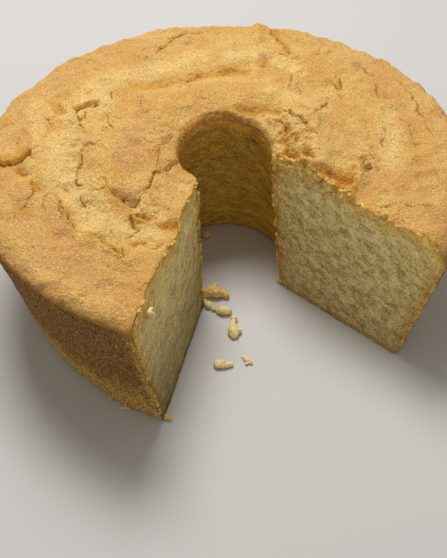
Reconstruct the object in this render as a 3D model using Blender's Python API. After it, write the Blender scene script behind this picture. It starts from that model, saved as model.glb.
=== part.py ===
"""Ring-shaped pound cake with a wedge cut out of it, as one solid.

The cake was baked in a tube pan, so its outer wall flares upwards and the hole
through its middle narrows upwards. Its top is a cracked crust with folds, torn
hollows and a raised lip round the hole. Two flat knife cuts, not quite upright,
bound the missing wedge. Units are metres, +Z is up and the base lies on z = 0.

The solid is swept round the tube's axis from one cut to the other as a fine
grid of rows and columns, and a Decimate modifier then spends the triangles
where the crust is rough.
"""

import math

import bmesh
import bpy
import numpy as np

MM = 0.001

# Body of the cake: a 10 in (254 mm) tube pan gives the outer wall and the hole.
RIM_RADIUS = 127 * MM
BASE_RADIUS = 111.4 * MM
RIM_HEIGHT = 81 * MM
TUBE_TOP_RADIUS = 22.5 * MM
TUBE_BASE_RADIUS = 33.7 * MM
TUBE_HEIGHT = 90 * MM
FOOT_RADIUS = 2 * MM          # rounding between the walls and the base

# The missing wedge puts the middle of the cake's box behind the tube's axis.
AXIS_Y = -2.6 * MM

# Each knife cut: its direction in plan (degrees), how far it passes from the
# tube's axis, and how much that distance grows with height.
RIGHT_CUT = (-41.1, 8.3 * MM, 0.035)
LEFT_CUT = (256.4, -3.9 * MM, -0.061)

# Height of the crust (mm) on five rings, at stations round the cake (degrees).
RING_RADII = (26, 42, 66, 90, 112)
CROWN_HEIGHTS = {
    -45: (83, 90.5, 83, 82.5, 83.5),
    0: (86, 91, 85, 84.5, 84),
    45: (89, 92, 86, 85, 84),
    90: (91, 93, 86.5, 86, 84.5),
    135: (90, 91, 86, 86, 85),
    180: (85, 87, 84, 86, 85),
    220: (79, 82, 80, 85, 85.5),
    258: (76.5, 80, 78, 84.5, 85),
}
# Round the cake (degrees), in mm: how far the rim and the base swell past their
# circles, and the size of the rounded shoulder between the crust and the wall.
SWELL = {
    -45: (-0.6, 1.2, 15),
    0: (1.5, 1.0, 11),
    35: (2.6, 0.5, 9),
    70: (0.8, 0, 9),
    90: (0.6, 0, 9),
    135: (0, 0, 9),
    165: (1.0, 0.5, 9),
    200: (0.6, 0.5, 8),
    228: (0, -1.2, 8),
    258: (0.4, 2.2, 7),
}
# The lip between the crust and the hole (mm): its width, its depth, and how far
# it hangs over the hole.
LIP = {
    -45: (5, 6, 0),
    45: (7, 9, 0),
    135: (7, 9, 0),
    195: (6, 7, 0),
    212: (3, 3, 3),
    258: (2.5, 2.5, 3.2),
}
OVERHANG_DROP = 14 * MM       # depth over which an overhang dies out down the hole

# Folds, cracks and hollows of the crust: rise (mm, negative for a hollow), half
# width (mm), step (mm, how far the crust stands up on the left of the path) and
# the path as (degrees, mm from the tube's axis).
LEFT_SIDE = (
    (-3.0, 2.0, 0, ((151.5, 79), (152.5, 83), (155, 87), (158, 88.5))),
    (-2.0, 1.3, -1.2, ((158, 88), (163.5, 82), (167.5, 74), (175, 68.5), (180, 73))),
    (-2.2, 1.4, -1.2, ((180, 73), (185, 71), (190, 73.5), (199, 77.5), (203, 72))),
    (-2.0, 1.4, 0, ((154, 70), (157, 67), (161, 64.5), (165, 60.5))),
    (-2.5, 3.0, 0, ((156, 101), (159, 97), (161, 93))),
    (-3.2, 2.0, 0, ((186.5, 118), (188, 108), (187, 104), (184, 102))),
    (-1.2, 4.0, 0, ((183.5, 110), (184, 105))),
    (1.5, 3.5, 0, ((173, 108), (177, 105), (181, 102))),
    (-2.5, 2.2, 0, ((190, 103), (191, 101))),
    (-2.5, 2.2, 0, ((194.5, 98), (200.5, 96.5))),
    (-1.3, 1.8, 0, ((165, 29), (172, 31.5), (185, 34), (200, 37), (206, 36))),
)
LEFT_FRONT = (
    (-3.5, 1.8, 0, ((200, 65), (205, 62.5), (209, 60.5))),
    (-5.5, 2.6, 0, ((212, 58), (219, 57))),
    (3.0, 3.5, 0, ((207, 65), (214, 65), (220, 64.5), (226, 65), (231, 63))),
    (2.0, 2.5, 0, ((222, 56), (226, 57), (231, 56))),
    (-2.5, 1.6, 1.8, ((219.5, 53), (215.5, 45), (209, 38.5), (207, 35))),
    (-4.5, 1.8, 0, ((207, 32), (203, 28.5), (198, 24))),
    (-3.5, 2.2, 0, ((239.5, 59), (243, 57), (246.5, 54.5))),
    (-4.0, 2.2, 0, ((239.5, 81), (239, 77), (240.5, 73.5))),
    (-4.0, 2.3, 0, ((244.5, 77), (246, 69))),
    (-1.6, 1.1, -1.0, ((227, 89), (233, 89), (238.5, 90.5))),
    (-1.4, 1.1, -1.0, ((205, 88), (217, 89), (221, 92.5), (225, 90.5))),
    (-1.8, 1.4, 0, ((228, 66), (232, 69.5))),
    (-1.8, 1.3, 0, ((200.5, 100), (203, 102.5), (206, 108))),
)
BACK = (
    (-3.0, 5.5, 0, ((82, 72), (90, 69), (100, 66), (110, 64), (126, 70))),
    (-3.0, 2.0, 0, ((101, 60), (103, 58.5))),
    (-2.5, 1.8, 0, ((107, 64), (109, 62))),
    (-3.0, 4.0, 0, ((73.5, 88), (73.5, 78))),
    (-2.0, 2.0, 0, ((67, 95), (69.5, 101), (72, 106), (75, 113), (73.5, 125))),
    (2.2, 4.0, 0, ((79.5, 125), (78.5, 116), (77, 102))),
    (-1.5, 3.0, 0, ((99, 112), (105, 108), (112, 99))),
    (-2.0, 3.0, 0, ((132, 60), (138, 61), (142, 58))),
)
RIGHT_SIDE = (
    (-2.5, 1.8, 0, ((55.5, 62), (57.5, 70), (58, 75))),
    (-1.5, 1.6, 0, ((47, 60), (51, 66), (54, 71))),
    (-1.6, 1.3, 0, ((41, 83), (44, 85), (49.5, 85))),
    (-1.5, 2.5, 0, ((29, 97), (33, 101), (42, 109), (50, 106))),
    (-4.5, 1.7, 0, ((-14.5, 72.5), (-10, 73.8))),
    (-2.5, 2.0, 0, ((-13, 70.5), (-5.5, 71.5))),
    (2.6, 3.0, 0, ((-31, 70), (-25, 71), (-18, 69.5), (-12, 67))),
    (-4.0, 3.0, 0, ((-22.5, 66), (-21.5, 61), (-22, 56), (-23, 51))),
    (-2.5, 2.2, 0, ((-31, 65), (-26, 65))),
    (-1.2, 1.3, 0, ((-27, 109), (-26.5, 97), (-29, 90))),
)
TORN_LIP = (
    (-3.0, 2.2, 0, ((2, 36), (6, 36))),
    (-2.5, 1.5, 0, ((12, 33.5), (28, 33.5), (35, 30))),
    (-1.8, 1.5, -1.0, ((13, 45), (22, 43), (31, 41))),
    (1.4, 2.5, 0, ((10, 47), (17, 49), (24, 52))),
    (-2.5, 1.8, 0, ((-14, 44), (-9, 41.5))),
    (-2.2, 2.4, 0, ((-20, 38), (-15, 36))),
    (-2.0, 3.5, 0, ((40, 37), (50, 35), (57, 32), (65, 29), (72, 27))),
    (-2.5, 1.8, 0, ((56, 26.5), (65, 26.5))),
)
STEP_REACH = 9 * MM           # how far a lifted edge of crust takes to settle again
LUMP_HEIGHT = 0.7 * MM        # gentle unevenness of the crust
LUMP_SIZE = 16 * MM
WALL_WOBBLE = 0.5 * MM        # unevenness of both walls
WOBBLE_SIZE = 30 * MM
STRAY = 1.2 * MM              # how far cracks and folds stray from their paths
STRAY_SIZE = 7 * MM
LUMP_SEED = 5

# Fine grid that the shape is worked out on, and the triangles that it keeps.
COLUMNS = 300
BASE_ROWS = 2
FOOT_ROWS = 2
WALL_ROWS = 12
SHOULDER_ROWS = 8
CRUST_ROWS = 80
LIP_ROWS = 6
CUT_PASSES = 4                # rounds that settle the columns onto the two cuts
TRIANGLES = 11600
FLAT_TOLERANCE = 0.02 * MM    # thinning may move the base's points by less than this

# Golden crust (linear red, green, blue), with the roughness of dry bread.
CRUST_COLOUR = (0.57, 0.30, 0.09, 1)
CRUST_ROUGHNESS = 0.85
SHARP_ANGLE = math.radians(50)


def smooth_through(places, knots, values):
    """Values of a smooth curve through the knots, one row of values per knot."""
    knots = np.asarray(knots, float)
    values = np.asarray(values, float)
    slopes = np.gradient(values, knots, axis=0)
    left = np.clip(np.searchsorted(knots, places) - 1, 0, len(knots) - 2)
    span = (knots[left + 1] - knots[left])[..., None]
    t = np.clip((places - knots[left])[..., None] / span, 0, 1)
    rise = t * t * (3 - 2 * t)
    curve = values[left] * (1 - rise) + values[left + 1] * rise
    curve += span * t * (1 - t) * ((1 - t) * slopes[left] - t * slopes[left + 1])
    return curve


def lumps(x, y, z, size, seed):
    """Smooth random bumps between -1 and 1, about `size` across."""
    cells = 16
    lattice = np.random.default_rng(seed).uniform(-1, 1, (cells, cells, cells))
    total = 0
    place = np.stack(np.broadcast_arrays(x, y, z)) / size + cells
    corner = np.floor(place).astype(int)
    t = place - corner
    t = t * t * (3 - 2 * t)
    for i in (0, 1):
        for j in (0, 1):
            for k in (0, 1):
                weight = (np.abs(1 - i - t[0]) * np.abs(1 - j - t[1]) * np.abs(1 - k - t[2]))
                cell = (corner + np.array([i, j, k]).reshape(3, *[1] * (t.ndim - 1))) % cells
                total = total + weight * lattice[cell[0], cell[1], cell[2]]
    return total


def path_distance(x, y, path):
    """Distance in plan from a path, and which side: +1 left of it, -1 right."""
    turn = np.radians([degrees for degrees, _ in path])
    reach = np.array([radius * MM for _, radius in path])
    points = np.stack([reach * np.cos(turn), reach * np.sin(turn)], axis=1)
    nearest = np.full(x.shape, np.inf)
    side = np.ones(x.shape)
    for start, end in zip(points[:-1], points[1:]):
        run = end - start
        share = ((x - start[0]) * run[0] + (y - start[1]) * run[1]) / (run @ run)
        share = np.clip(share, 0, 1)
        off_x = x - start[0] - share * run[0]
        off_y = y - start[1] - share * run[1]
        distance = np.hypot(off_x, off_y)
        closer = distance < nearest
        nearest = np.where(closer, distance, nearest)
        side = np.where(closer, np.sign(run[0] * off_y - run[1] * off_x), side)
    return nearest, side


def relief(angle, radius):
    """How far folds, cracks and lumps lift or sink the crust."""
    x = radius * np.cos(angle)
    y = radius * np.sin(angle)
    lift = LUMP_HEIGHT * lumps(x, y, 0 * x, LUMP_SIZE, LUMP_SEED)
    x = x + STRAY * lumps(x, y, 0 * x, STRAY_SIZE, LUMP_SEED + 3)
    y = y + STRAY * lumps(x, y, 0 * x, STRAY_SIZE, LUMP_SEED + 4)
    for rise, half_width, step, path in LEFT_SIDE + LEFT_FRONT + BACK + RIGHT_SIDE + TORN_LIP:
        distance, side = path_distance(x, y, path)
        lift = lift + rise * MM * np.exp(-(distance / (half_width * MM)) ** 2)
        if step:
            raised = side * np.sign(step) > 0
            lift = lift + raised * abs(step) * MM * np.exp(-distance / STEP_REACH)
    return lift


def crown(angle, radius):
    """Height of the crust above the base."""
    stations = sorted(CROWN_HEIGHTS)
    heights = [CROWN_HEIGHTS[station] for station in stations]
    on_rings = smooth_through(np.degrees(angle), stations, heights)
    share = smooth_through(radius / MM, RING_RADII, np.eye(len(RING_RADII)))
    return (on_rings * share).sum(axis=-1) * MM + relief(angle, radius)


def round_the_cake(sizes, angle, index):
    """One of the sizes (mm) that are given at stations round the cake, in metres."""
    stations = sorted(sizes)
    values = [[sizes[station][index]] for station in stations]
    return smooth_through(np.degrees(angle), stations, values)[..., 0] * MM


def crust_edge(angle):
    """Radius at which the crust gives way to the shoulder."""
    return RIM_RADIUS + round_the_cake(SWELL, angle, 0) - round_the_cake(SWELL, angle, 2)


def lip_edge(angle):
    """Radius at which the crust gives way to the lip."""
    hanging = round_the_cake(LIP, angle, 2)
    return TUBE_TOP_RADIUS - hanging + round_the_cake(LIP, angle, 0)


def wobble(angle, height, seed):
    """Slow unevenness of a wall, which dies out at the flat base."""
    x = RIM_RADIUS * np.cos(angle)
    y = RIM_RADIUS * np.sin(angle)
    fade = np.clip(height / WOBBLE_SIZE, 0, 1)
    return WALL_WOBBLE * fade * lumps(x, y, height, WOBBLE_SIZE, seed)


def outer_radius(angle, height):
    """Radius of the flared outer wall."""
    rim = RIM_RADIUS + round_the_cake(SWELL, angle, 0)
    foot = BASE_RADIUS + round_the_cake(SWELL, angle, 1)
    flare = (rim - foot) / RIM_HEIGHT
    return foot + flare * height + wobble(angle, height, LUMP_SEED + 1)


def tube_radius(angle, height):
    """Radius of the hole that the pan's tube left."""
    taper = (TUBE_TOP_RADIUS - TUBE_BASE_RADIUS) / TUBE_HEIGHT
    near_top = np.clip(1 - (lip_foot(angle) - height) / OVERHANG_DROP, 0, 1)
    hanging = round_the_cake(LIP, angle, 2) * near_top ** 2
    return TUBE_BASE_RADIUS + taper * height - hanging - wobble(angle, height, LUMP_SEED + 2)


def shoulder_foot(angle):
    """Height at which the outer wall gives way to the shoulder."""
    return crown(angle, crust_edge(angle)) - round_the_cake(SWELL, angle, 2)


def lip_foot(angle):
    """Height at which the lip gives way to the wall of the hole."""
    return crown(angle, lip_edge(angle)) - round_the_cake(LIP, angle, 1)


# The blocks below give the section's outline, anticlockwise from the base's
# inner edge. Each takes t, from 0 at the block's start to 1 at the next one's.

def base(t, angle):
    inner = tube_radius(angle, 0 * angle) + FOOT_RADIUS
    outer = outer_radius(angle, 0 * angle) - FOOT_RADIUS
    return inner + (outer - inner) * t, 0 * t * angle


def outer_foot(t, angle):
    height = FOOT_RADIUS * (1 - np.cos(t * math.pi / 2)) + 0 * angle
    inset = FOOT_RADIUS * (1 - np.sin(t * math.pi / 2))
    return outer_radius(angle, height) - inset, height


def outer_wall(t, angle):
    height = FOOT_RADIUS + (shoulder_foot(angle) - FOOT_RADIUS) * t
    return outer_radius(angle, height), height


def shoulder(t, angle):
    foot = shoulder_foot(angle)
    top = crust_edge(angle)
    radius = top + (outer_radius(angle, foot) - top) * np.cos(t * math.pi / 2)
    return radius, foot + (crown(angle, radius) - foot) * np.sin(t * math.pi / 2)


def crust(t, angle):
    radius = crust_edge(angle) + (lip_edge(angle) - crust_edge(angle)) * t
    return radius, crown(angle, radius)


def lip(t, angle):
    foot = lip_foot(angle)
    bottom = tube_radius(angle, foot)
    top = lip_edge(angle)
    radius = bottom + (top - bottom) * (1 - np.sin(t * math.pi / 2))
    return radius, foot + (crown(angle, radius) - foot) * np.cos(t * math.pi / 2)


def tube_wall(t, angle):
    height = lip_foot(angle) + (FOOT_RADIUS - lip_foot(angle)) * t
    return tube_radius(angle, height), height


def inner_foot(t, angle):
    height = FOOT_RADIUS * (1 - np.sin(t * math.pi / 2)) + 0 * angle
    inset = FOOT_RADIUS * (1 - np.cos(t * math.pi / 2))
    return tube_radius(angle, height) + inset, height


BLOCKS = (
    (BASE_ROWS, base),
    (FOOT_ROWS, outer_foot),
    (WALL_ROWS, outer_wall),
    (SHOULDER_ROWS, shoulder),
    (CRUST_ROWS, crust),
    (LIP_ROWS, lip),
    (WALL_ROWS, tube_wall),
    (FOOT_ROWS, inner_foot),
)
ROWS = sum(rows for rows, _ in BLOCKS)


def section(angle):
    """Radius and height of every point, from its row and its own angle."""
    outlines = []
    first = 0
    for rows, block in BLOCKS:
        t = np.arange(rows)[:, None] / rows
        outlines.append(block(t, angle[first:first + rows]))
        first += rows
    return np.vstack([r for r, _ in outlines]), np.vstack([z for _, z in outlines])


def cut_angle(cut, radius, height):
    """Angle at which a knife cut meets a given radius and height."""
    direction, offset, lean = cut
    return math.radians(direction) + np.arcsin((offset + lean * height) / radius)


def cake_points():
    """Every point of the sweep, as rows round the section by columns round the cake."""
    share = np.linspace(0, 1, COLUMNS)[None, :]
    angle = np.radians(RIGHT_CUT[0] + (LEFT_CUT[0] - RIGHT_CUT[0]) * share)
    angle = np.repeat(angle, ROWS, axis=0)
    for _ in range(CUT_PASSES):
        radius, height = section(angle)
        right = cut_angle(RIGHT_CUT, radius, height)
        left = cut_angle(LEFT_CUT, radius, height)
        angle = right + (left - right) * share
    return np.stack([radius * np.cos(angle), radius * np.sin(angle) + AXIS_Y, height], axis=-1)


def sweep_mesh(points):
    """Closed mesh from the sweep: quads all round, and one flat face for each cut."""
    rows, columns = points.shape[:2]
    mesh = bmesh.new()
    verts = [[mesh.verts.new(point) for point in row] for row in points.tolist()]
    for row in range(rows):
        low = verts[row]
        high = verts[(row + 1) % rows]
        for column in range(columns - 1):
            mesh.faces.new((low[column], low[column + 1], high[column + 1], high[column]))
    mesh.faces.new([verts[row][0] for row in range(rows)])
    mesh.faces.new([verts[row][-1] for row in reversed(range(rows))])
    bmesh.ops.recalc_face_normals(mesh, faces=mesh.faces)
    bmesh.ops.triangulate(mesh, faces=mesh.faces)
    return mesh


def thin_out(cake):
    """Keep the triangles that the crust needs, and bring the base back to z = 0."""
    decimate = cake.modifiers.new("thin_out", "DECIMATE")
    decimate.ratio = TRIANGLES / len(cake.data.polygons)
    decimate.use_collapse_triangulate = True
    depsgraph = bpy.context.evaluated_depsgraph_get()
    thinned = bpy.data.meshes.new_from_object(cake.evaluated_get(depsgraph))
    cake.modifiers.clear()
    cake.data = thinned
    for vert in thinned.vertices:
        if abs(vert.co.z) < FLAT_TOLERANCE:
            vert.co.z = 0


def crust_material():
    material = bpy.data.materials.new("crust")
    material.use_nodes = True
    shader = material.node_tree.nodes["Principled BSDF"]
    shader.inputs["Base Color"].default_value = CRUST_COLOUR
    shader.inputs["Roughness"].default_value = CRUST_ROUGHNESS
    shader.inputs["Metallic"].default_value = 0
    return material


def make_cake():
    mesh = bpy.data.meshes.new("cake")
    sweep = sweep_mesh(cake_points())
    sweep.to_mesh(mesh)
    sweep.free()
    cake = bpy.data.objects.new("cake", mesh)
    bpy.context.collection.objects.link(cake)
    thin_out(cake)
    cake.data.materials.clear()
    cake.data.materials.append(crust_material())
    cake.data.shade_smooth()
    cake.data.set_sharp_from_angle(angle=SHARP_ANGLE)
    return cake


def main():
    for item in list(bpy.data.objects):
        bpy.data.objects.remove(item, do_unlink=True)
    make_cake()


main()
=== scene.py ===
"""Ring-shaped pound cake with a wedge cut out of it, dressed for a studio.

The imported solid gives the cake's place and size. Over it, the operators below
build a finer cake with its cracked crust, open crumb and ragged edges, then the
crumbs that lie in the gap, and the floor, the lights and the camera. The file
is laid out as an add-on: sizes and colours are properties of the scene, and
each piece, or group of like pieces, is made by one operator.

Sizes are in metres and +Z is up. Angles round the cake are in degrees, from +X
towards +Y, about the axis of the hole.
"""

import math

import bmesh
import bpy
import numpy as np
from bpy.props import FloatProperty, FloatVectorProperty, IntProperty, PointerProperty
from mathutils import Matrix, Vector


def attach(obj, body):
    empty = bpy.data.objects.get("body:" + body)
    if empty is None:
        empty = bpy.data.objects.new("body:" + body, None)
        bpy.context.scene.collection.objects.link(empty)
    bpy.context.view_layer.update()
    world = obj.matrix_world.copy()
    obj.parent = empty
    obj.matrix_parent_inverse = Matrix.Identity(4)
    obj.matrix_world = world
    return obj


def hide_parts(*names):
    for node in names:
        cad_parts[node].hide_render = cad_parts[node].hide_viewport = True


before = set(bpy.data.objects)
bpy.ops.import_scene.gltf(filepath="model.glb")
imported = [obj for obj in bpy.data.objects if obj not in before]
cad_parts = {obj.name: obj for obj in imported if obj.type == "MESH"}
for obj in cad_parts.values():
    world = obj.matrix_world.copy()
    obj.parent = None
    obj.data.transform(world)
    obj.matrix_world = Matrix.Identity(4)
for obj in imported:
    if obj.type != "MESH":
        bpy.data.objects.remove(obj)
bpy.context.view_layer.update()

bl_info = {
    "name": "Pound Cake",
    "version": (1, 0, 0),
    "blender": (4, 5, 0),
    "location": "3D View > Sidebar > Pound Cake",
    "description": "Builds a cut, ring-shaped pound cake over its packed solid",
    "category": "Add Mesh",
}

MM = 0.001

# --- The cake's form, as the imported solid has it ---

# Each knife cut: its direction in plan (degrees), how far it passes from the
# hole's axis, and how much that distance grows with height.
RIGHT_CUT = (-41.1, 8.3 * MM, 0.035)
LEFT_CUT = (256.4, -3.9 * MM, -0.061)
# Both cuts, each with the way round (+1 is anticlockwise) that leads out of the cake.
CUTS = ((RIGHT_CUT, -1), (LEFT_CUT, 1))

# Height of the crust (mm) on five rings, at stations round the cake (degrees).
RING_RADII = (26, 42, 66, 90, 112)
CROWN_HEIGHTS = {
    -45: (83, 90.5, 83, 82.5, 83.5),
    0: (86, 91, 85, 84.5, 84),
    45: (89, 92, 86, 85, 84),
    90: (91, 93, 86.5, 86, 84.5),
    135: (90, 91, 86, 86, 85),
    180: (85, 87, 84, 86, 85),
    220: (79, 82, 80, 85, 85.5),
    258: (76.5, 80, 78, 84.5, 85),
}
# Round the cake (degrees), in mm: how far the rim and the base swell past their
# circles, and the size of the rounded shoulder between the crust and the wall.
SWELL = {
    -45: (-0.6, 1.2, 15),
    0: (1.5, 1.0, 11),
    35: (2.6, 0.5, 9),
    70: (0.8, 0, 9),
    90: (0.6, 0, 9),
    135: (0, 0, 9),
    165: (1.0, 0.5, 9),
    200: (0.6, 0.5, 8),
    228: (0, -1.2, 8),
    258: (0.4, 2.2, 7),
}
# The lip between the crust and the hole (mm): its width, its depth, how far it
# hangs over the hole, and how far down it the baked side of the hole starts.
LIP = {
    -45: (5, 6, 0, 4),
    20: (3.5, 5, 0, 4),
    45: (3, 5, 0, 4),
    90: (2.5, 4, 0, 2.5),
    118: (4, 5, 0, 0.8),
    150: (4, 5, 0, 0.6),
    172: (3.5, 5, 0, 1.2),
    195: (4.5, 5, 0, 3),
    212: (3, 3, 3, 2.2),
    258: (2.5, 2.5, 3.2, 2),
}
OVERHANG_DROP = 14 * MM

# Folds, cracks and hollows of the crust: rise (mm, negative for a hollow), half
# width (mm), step (mm, how far the crust stands up on the left of the path) and
# the path as (degrees, mm from the hole's axis).
FOLDS = (
    (1.0, 1.8, 0, ((150.5, 78), (151.5, 82), (154, 87), (157.5, 89.5))),
    (-1.4, 1.2, -0.8, ((152.5, 77.5), (154.5, 82), (158.5, 86.5))),
    (-0.5, 0.9, -1.6, ((158.5, 86.5), (163, 81.5), (168, 75.4), (172, 71.5), (177.4, 67.8))),
    (-0.3, 0.9, -1.4, ((177.4, 67.8), (180, 71), (188, 72.7), (194, 75), (199, 77.5), (203, 72))),
    (-2.0, 0.9, 0, ((180.4, 72.2), (182.6, 72.9))),
    (-1.9, 0.9, 0, ((186.5, 72.8), (189.5, 74))),
    (-2.0, 0.9, 0, ((198.6, 76.6), (201.8, 76.4))),
    (-1.2, 0.9, 0, ((154, 70), (157, 67), (161, 64.5), (165, 60.5))),
    (-2.0, 3.2, 0, ((156, 101), (159, 97), (161, 93))),
    (0.9, 3.0, 0, ((184.2, 116), (184.2, 107), (182.5, 102))),
    (-2.6, 1.1, 1.6, ((186.5, 118), (187.3, 106.5), (185.1, 101), (183.3, 99))),
    (1.5, 3.5, 0, ((173, 108), (177, 105), (181, 102))),
    (-2.4, 2.9, 0, ((190, 103), (191, 102))),
    (-1.8, 1.0, 0, ((190.5, 105), (191.5, 101))),
    (-2.2, 2.9, 0, ((197.5, 97), (200, 96.8))),
    (-1.8, 1.0, 0, ((197, 98.5), (200.5, 98))),
    (-1.6, 2.9, 0, ((205.5, 108), (207, 106))),
    (-1.3, 1.8, 0, ((165, 29), (172, 31.5), (185, 34), (200, 37), (206, 36))),
    (-2.6, 1.2, -0.8, ((200, 64), (205, 62.2), (210, 60), (213, 59))),
    (-4.6, 3.6, 0, ((212.5, 59.5), (219, 57.5))),
    (-2.4, 1.1, -1.0, ((213, 61.5), (220.5, 58.5), (221.5, 55.5))),
    (3.0, 3.5, 0, ((207, 66), (214, 66), (220, 65.5), (226, 65.5), (231, 63.5))),
    (2.0, 2.5, 0, ((222, 56), (226, 57), (231, 56))),
    (-1.0, 0.8, 1.2, ((219.5, 53), (215.5, 45), (209, 38.5), (207, 35))),
    (-1.8, 1.1, 0, ((207, 32), (203, 28.5), (198, 24))),
    (-2.2, 2.9, 0, ((240.5, 58.6), (243, 57), (246, 54.8))),
    (-2.2, 2.9, 0, ((239.5, 79.5), (239, 77), (240.5, 74.5))),
    (-2.2, 1.0, -1.0, ((238.3, 80), (238.5, 77.5), (240, 74.5))),
    (-1.6, 2.9, 0, ((245, 75), (246, 71))),
    (-2.0, 1.0, -0.8, ((244, 76), (245.5, 71))),
    (-2.8, 1.0, -1.8, ((227, 88.5), (233, 89), (238.6, 90.2))),
    (-2.0, 0.9, -1.6, ((206.6, 89.4), (212, 89.5), (217.4, 90.6), (220.6, 92.2))),
    (-1.4, 0.9, 0, ((228, 66), (232, 69.5))),
    (-1.2, 0.9, 0, ((200.5, 100), (203, 102.5), (206, 108))),
    (-2.6, 5.0, 0, ((82, 72), (90, 69), (100, 66), (110, 64), (126, 70))),
    (-1.8, 1.4, 0, ((101, 60), (103, 58.5))),
    (-1.8, 1.3, 0, ((107, 64), (109, 62))),
    (-4.2, 3.2, 0, ((73.8, 87), (73.5, 79))),
    (-2.2, 0.9, 1.2, ((67, 95), (69.5, 101), (72, 106), (75, 113), (77.5, 125))),
    (2.0, 4.0, 0, ((81, 125), (80, 116), (79, 104))),
    (-1.2, 2.6, -0.8, ((99, 112), (105, 108), (112, 99))),
    (-1.6, 2.6, 0, ((132, 60), (138, 61), (142, 58))),
    (-1.8, 1.0, 0, ((54, 62), (57, 70), (59.5, 75))),
    (-1.0, 1.2, 0, ((47, 60), (51, 66), (54, 71))),
    (-1.4, 1.0, 0.6, ((41, 83), (44, 85), (49.5, 85))),
    (-1.2, 2.0, 0, ((29, 97), (33, 101), (42, 109), (50, 106))),
    (-3.4, 1.5, 0, ((-14.5, 72), (-10, 73.8))),
    (-1.8, 1.6, 0, ((-13, 70.5), (-5.5, 71.5))),
    (2.6, 3.0, 0, ((-31, 70), (-25, 71), (-18, 69.5), (-12, 67))),
    (-4.0, 3.0, 0, ((-22.5, 66), (-21.5, 61), (-22, 56), (-23, 51))),
    (-2.5, 1.8, 0, ((-31, 65), (-26, 65))),
    (-1.8, 0.9, 0.5, ((-24, 107), (-25, 100), (-25.5, 95), (-28, 90), (-30, 86))),
    (-2.4, 1.8, 0, ((2, 36), (6, 36))),
    (-2.0, 1.3, 0, ((12, 33.5), (28, 33.5), (35, 30))),
    (-1.6, 1.0, -1.2, ((13, 45), (22, 43), (31, 41))),
    (1.4, 2.5, 0, ((10, 47), (17, 49), (24, 52))),
    (-3.5, 3.0, 0, ((-14, 44), (-9, 41.5))),
    (-3.5, 3.2, 0, ((-20, 38), (-15, 36))),
    (-1.8, 3.2, 0, ((40, 37), (50, 35), (57, 32), (65, 29), (72, 27))),
    (-2.0, 1.3, 0, ((56, 26.5), (65, 26.5))),
)

# Finer cracks and pits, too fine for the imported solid, in the same terms.
FINE_CRACKS = (
    (-1.6, 0.7, 0, ((203, 71.5), (202, 77), (199, 77.8))),
    (-1.3, 0.7, 0, ((205, 106), (206, 111))),
    (-1.2, 0.7, 0, ((185, 99), (186, 96))),
    (-1.2, 0.7, 0, ((166, 98), (169, 93))),
    (-1.6, 1.0, 0, ((143.5, 77), (145, 74))),
    (-1.5, 0.7, 0, ((233.5, 72), (235, 78))),
    (-2.0, 0.7, -0.8, ((227, 88.5), (227.3, 85), (228.5, 82.5), (228, 79.5))),
    (-1.5, 0.7, 0, ((238.6, 90.2), (237.5, 86.5))),
    (-1.4, 0.7, 0, ((228, 66), (229.5, 66.5), (232, 69.5), (234, 70))),
    (-1.6, 0.7, 0, ((220.6, 92.2), (225, 90.5), (226.5, 88))),
    (-1.2, 0.7, 0, ((206.6, 89.4), (204.5, 93), (206, 97), (210, 98))),
    (-1.2, 0.7, 0, ((210.5, 91.5), (215, 93))),
    (-1.8, 1.0, 0, ((209.5, 78.5), (210.5, 78.5))),
    (-1.5, 0.7, 0, ((167, 76), (163, 80), (158, 81))),
    (-1.3, 0.7, 0, ((203, 72), (206, 70), (207, 66))),
    (-1.2, 0.7, 0, ((62.5, 93), (66, 92), (69, 93))),
    (-1.2, 0.7, 0, ((40.5, 86), (44, 90))),
    (-1.6, 1.0, 0, ((35.5, 77.5), (36.5, 77.5))),
    (-1.2, 0.7, -0.6, ((34, 66), (31, 60), (27, 54), (23, 50))),
    (-1.2, 0.7, 0, ((-7, 73), (-5, 76), (0, 69.5))),
    (-1.1, 0.7, 0, ((2, 80.5), (5, 82))),
    (-1.4, 0.7, 0, ((25, 39.5), (31, 41))),
    (-1.6, 0.8, 0, ((-34.5, 65), (-33, 65))),
    (-1.2, 0.7, 0, ((31, 116), (22, 112), (14, 110), (8, 109))),
    (-1.0, 0.7, 0, ((17, 96), (10, 99), (4, 97))),
    (-1.1, 0.7, 0, ((93, 59), (98, 59.5))),
    (-1.4, 0.9, 0, ((88.5, 66), (89.5, 66))),
    (-1.4, 0.9, 0, ((84.5, 72), (85.5, 72))),
    (-1.4, 0.9, 0, ((101.5, 67), (102.5, 67))),
    (-1.4, 0.9, 0, ((87.5, 72), (88.5, 72))),
    (-1.4, 0.9, 0, ((121.5, 66), (122.5, 66))),
    (-1.1, 0.7, 0.6, ((102, 112), (108, 104), (113, 97), (119, 93))),
    (-1.0, 0.7, 0, ((60, 110), (58, 103), (60, 98))),
)
STEP_REACH = 7 * MM           # distance over which a step dies out beside its crack
LUMP_HEIGHT = 0.7 * MM        # soft lumps all over the crust
LUMP_SIZE = 16 * MM
WALL_WOBBLE = 0.5 * MM        # slow unevenness of the walls
WOBBLE_SIZE = 30 * MM
STRAY = 1.2 * MM              # how far folds and cracks wander off their paths
STRAY_SIZE = 7 * MM
LUMP_SEED = 5
CHUNKY = 0.8                  # strength of a broken patch past which it breaks into chunks
STROKE_REACH = 3.2            # half widths past which a fold no longer counts
BROAD_FOLD = 2.8              # half width (mm) past which a fold has soft edges
CREASE_HEIGHT = 1.9 * MM      # soft creases between the plates of the crust
CREASE_SIZE = 11 * MM
CRACK_WIDTH = 0.55 * MM       # least half width of a split
CRACK_SPAN = 3 * MM           # distance from a crack within which it colours the crust
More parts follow.
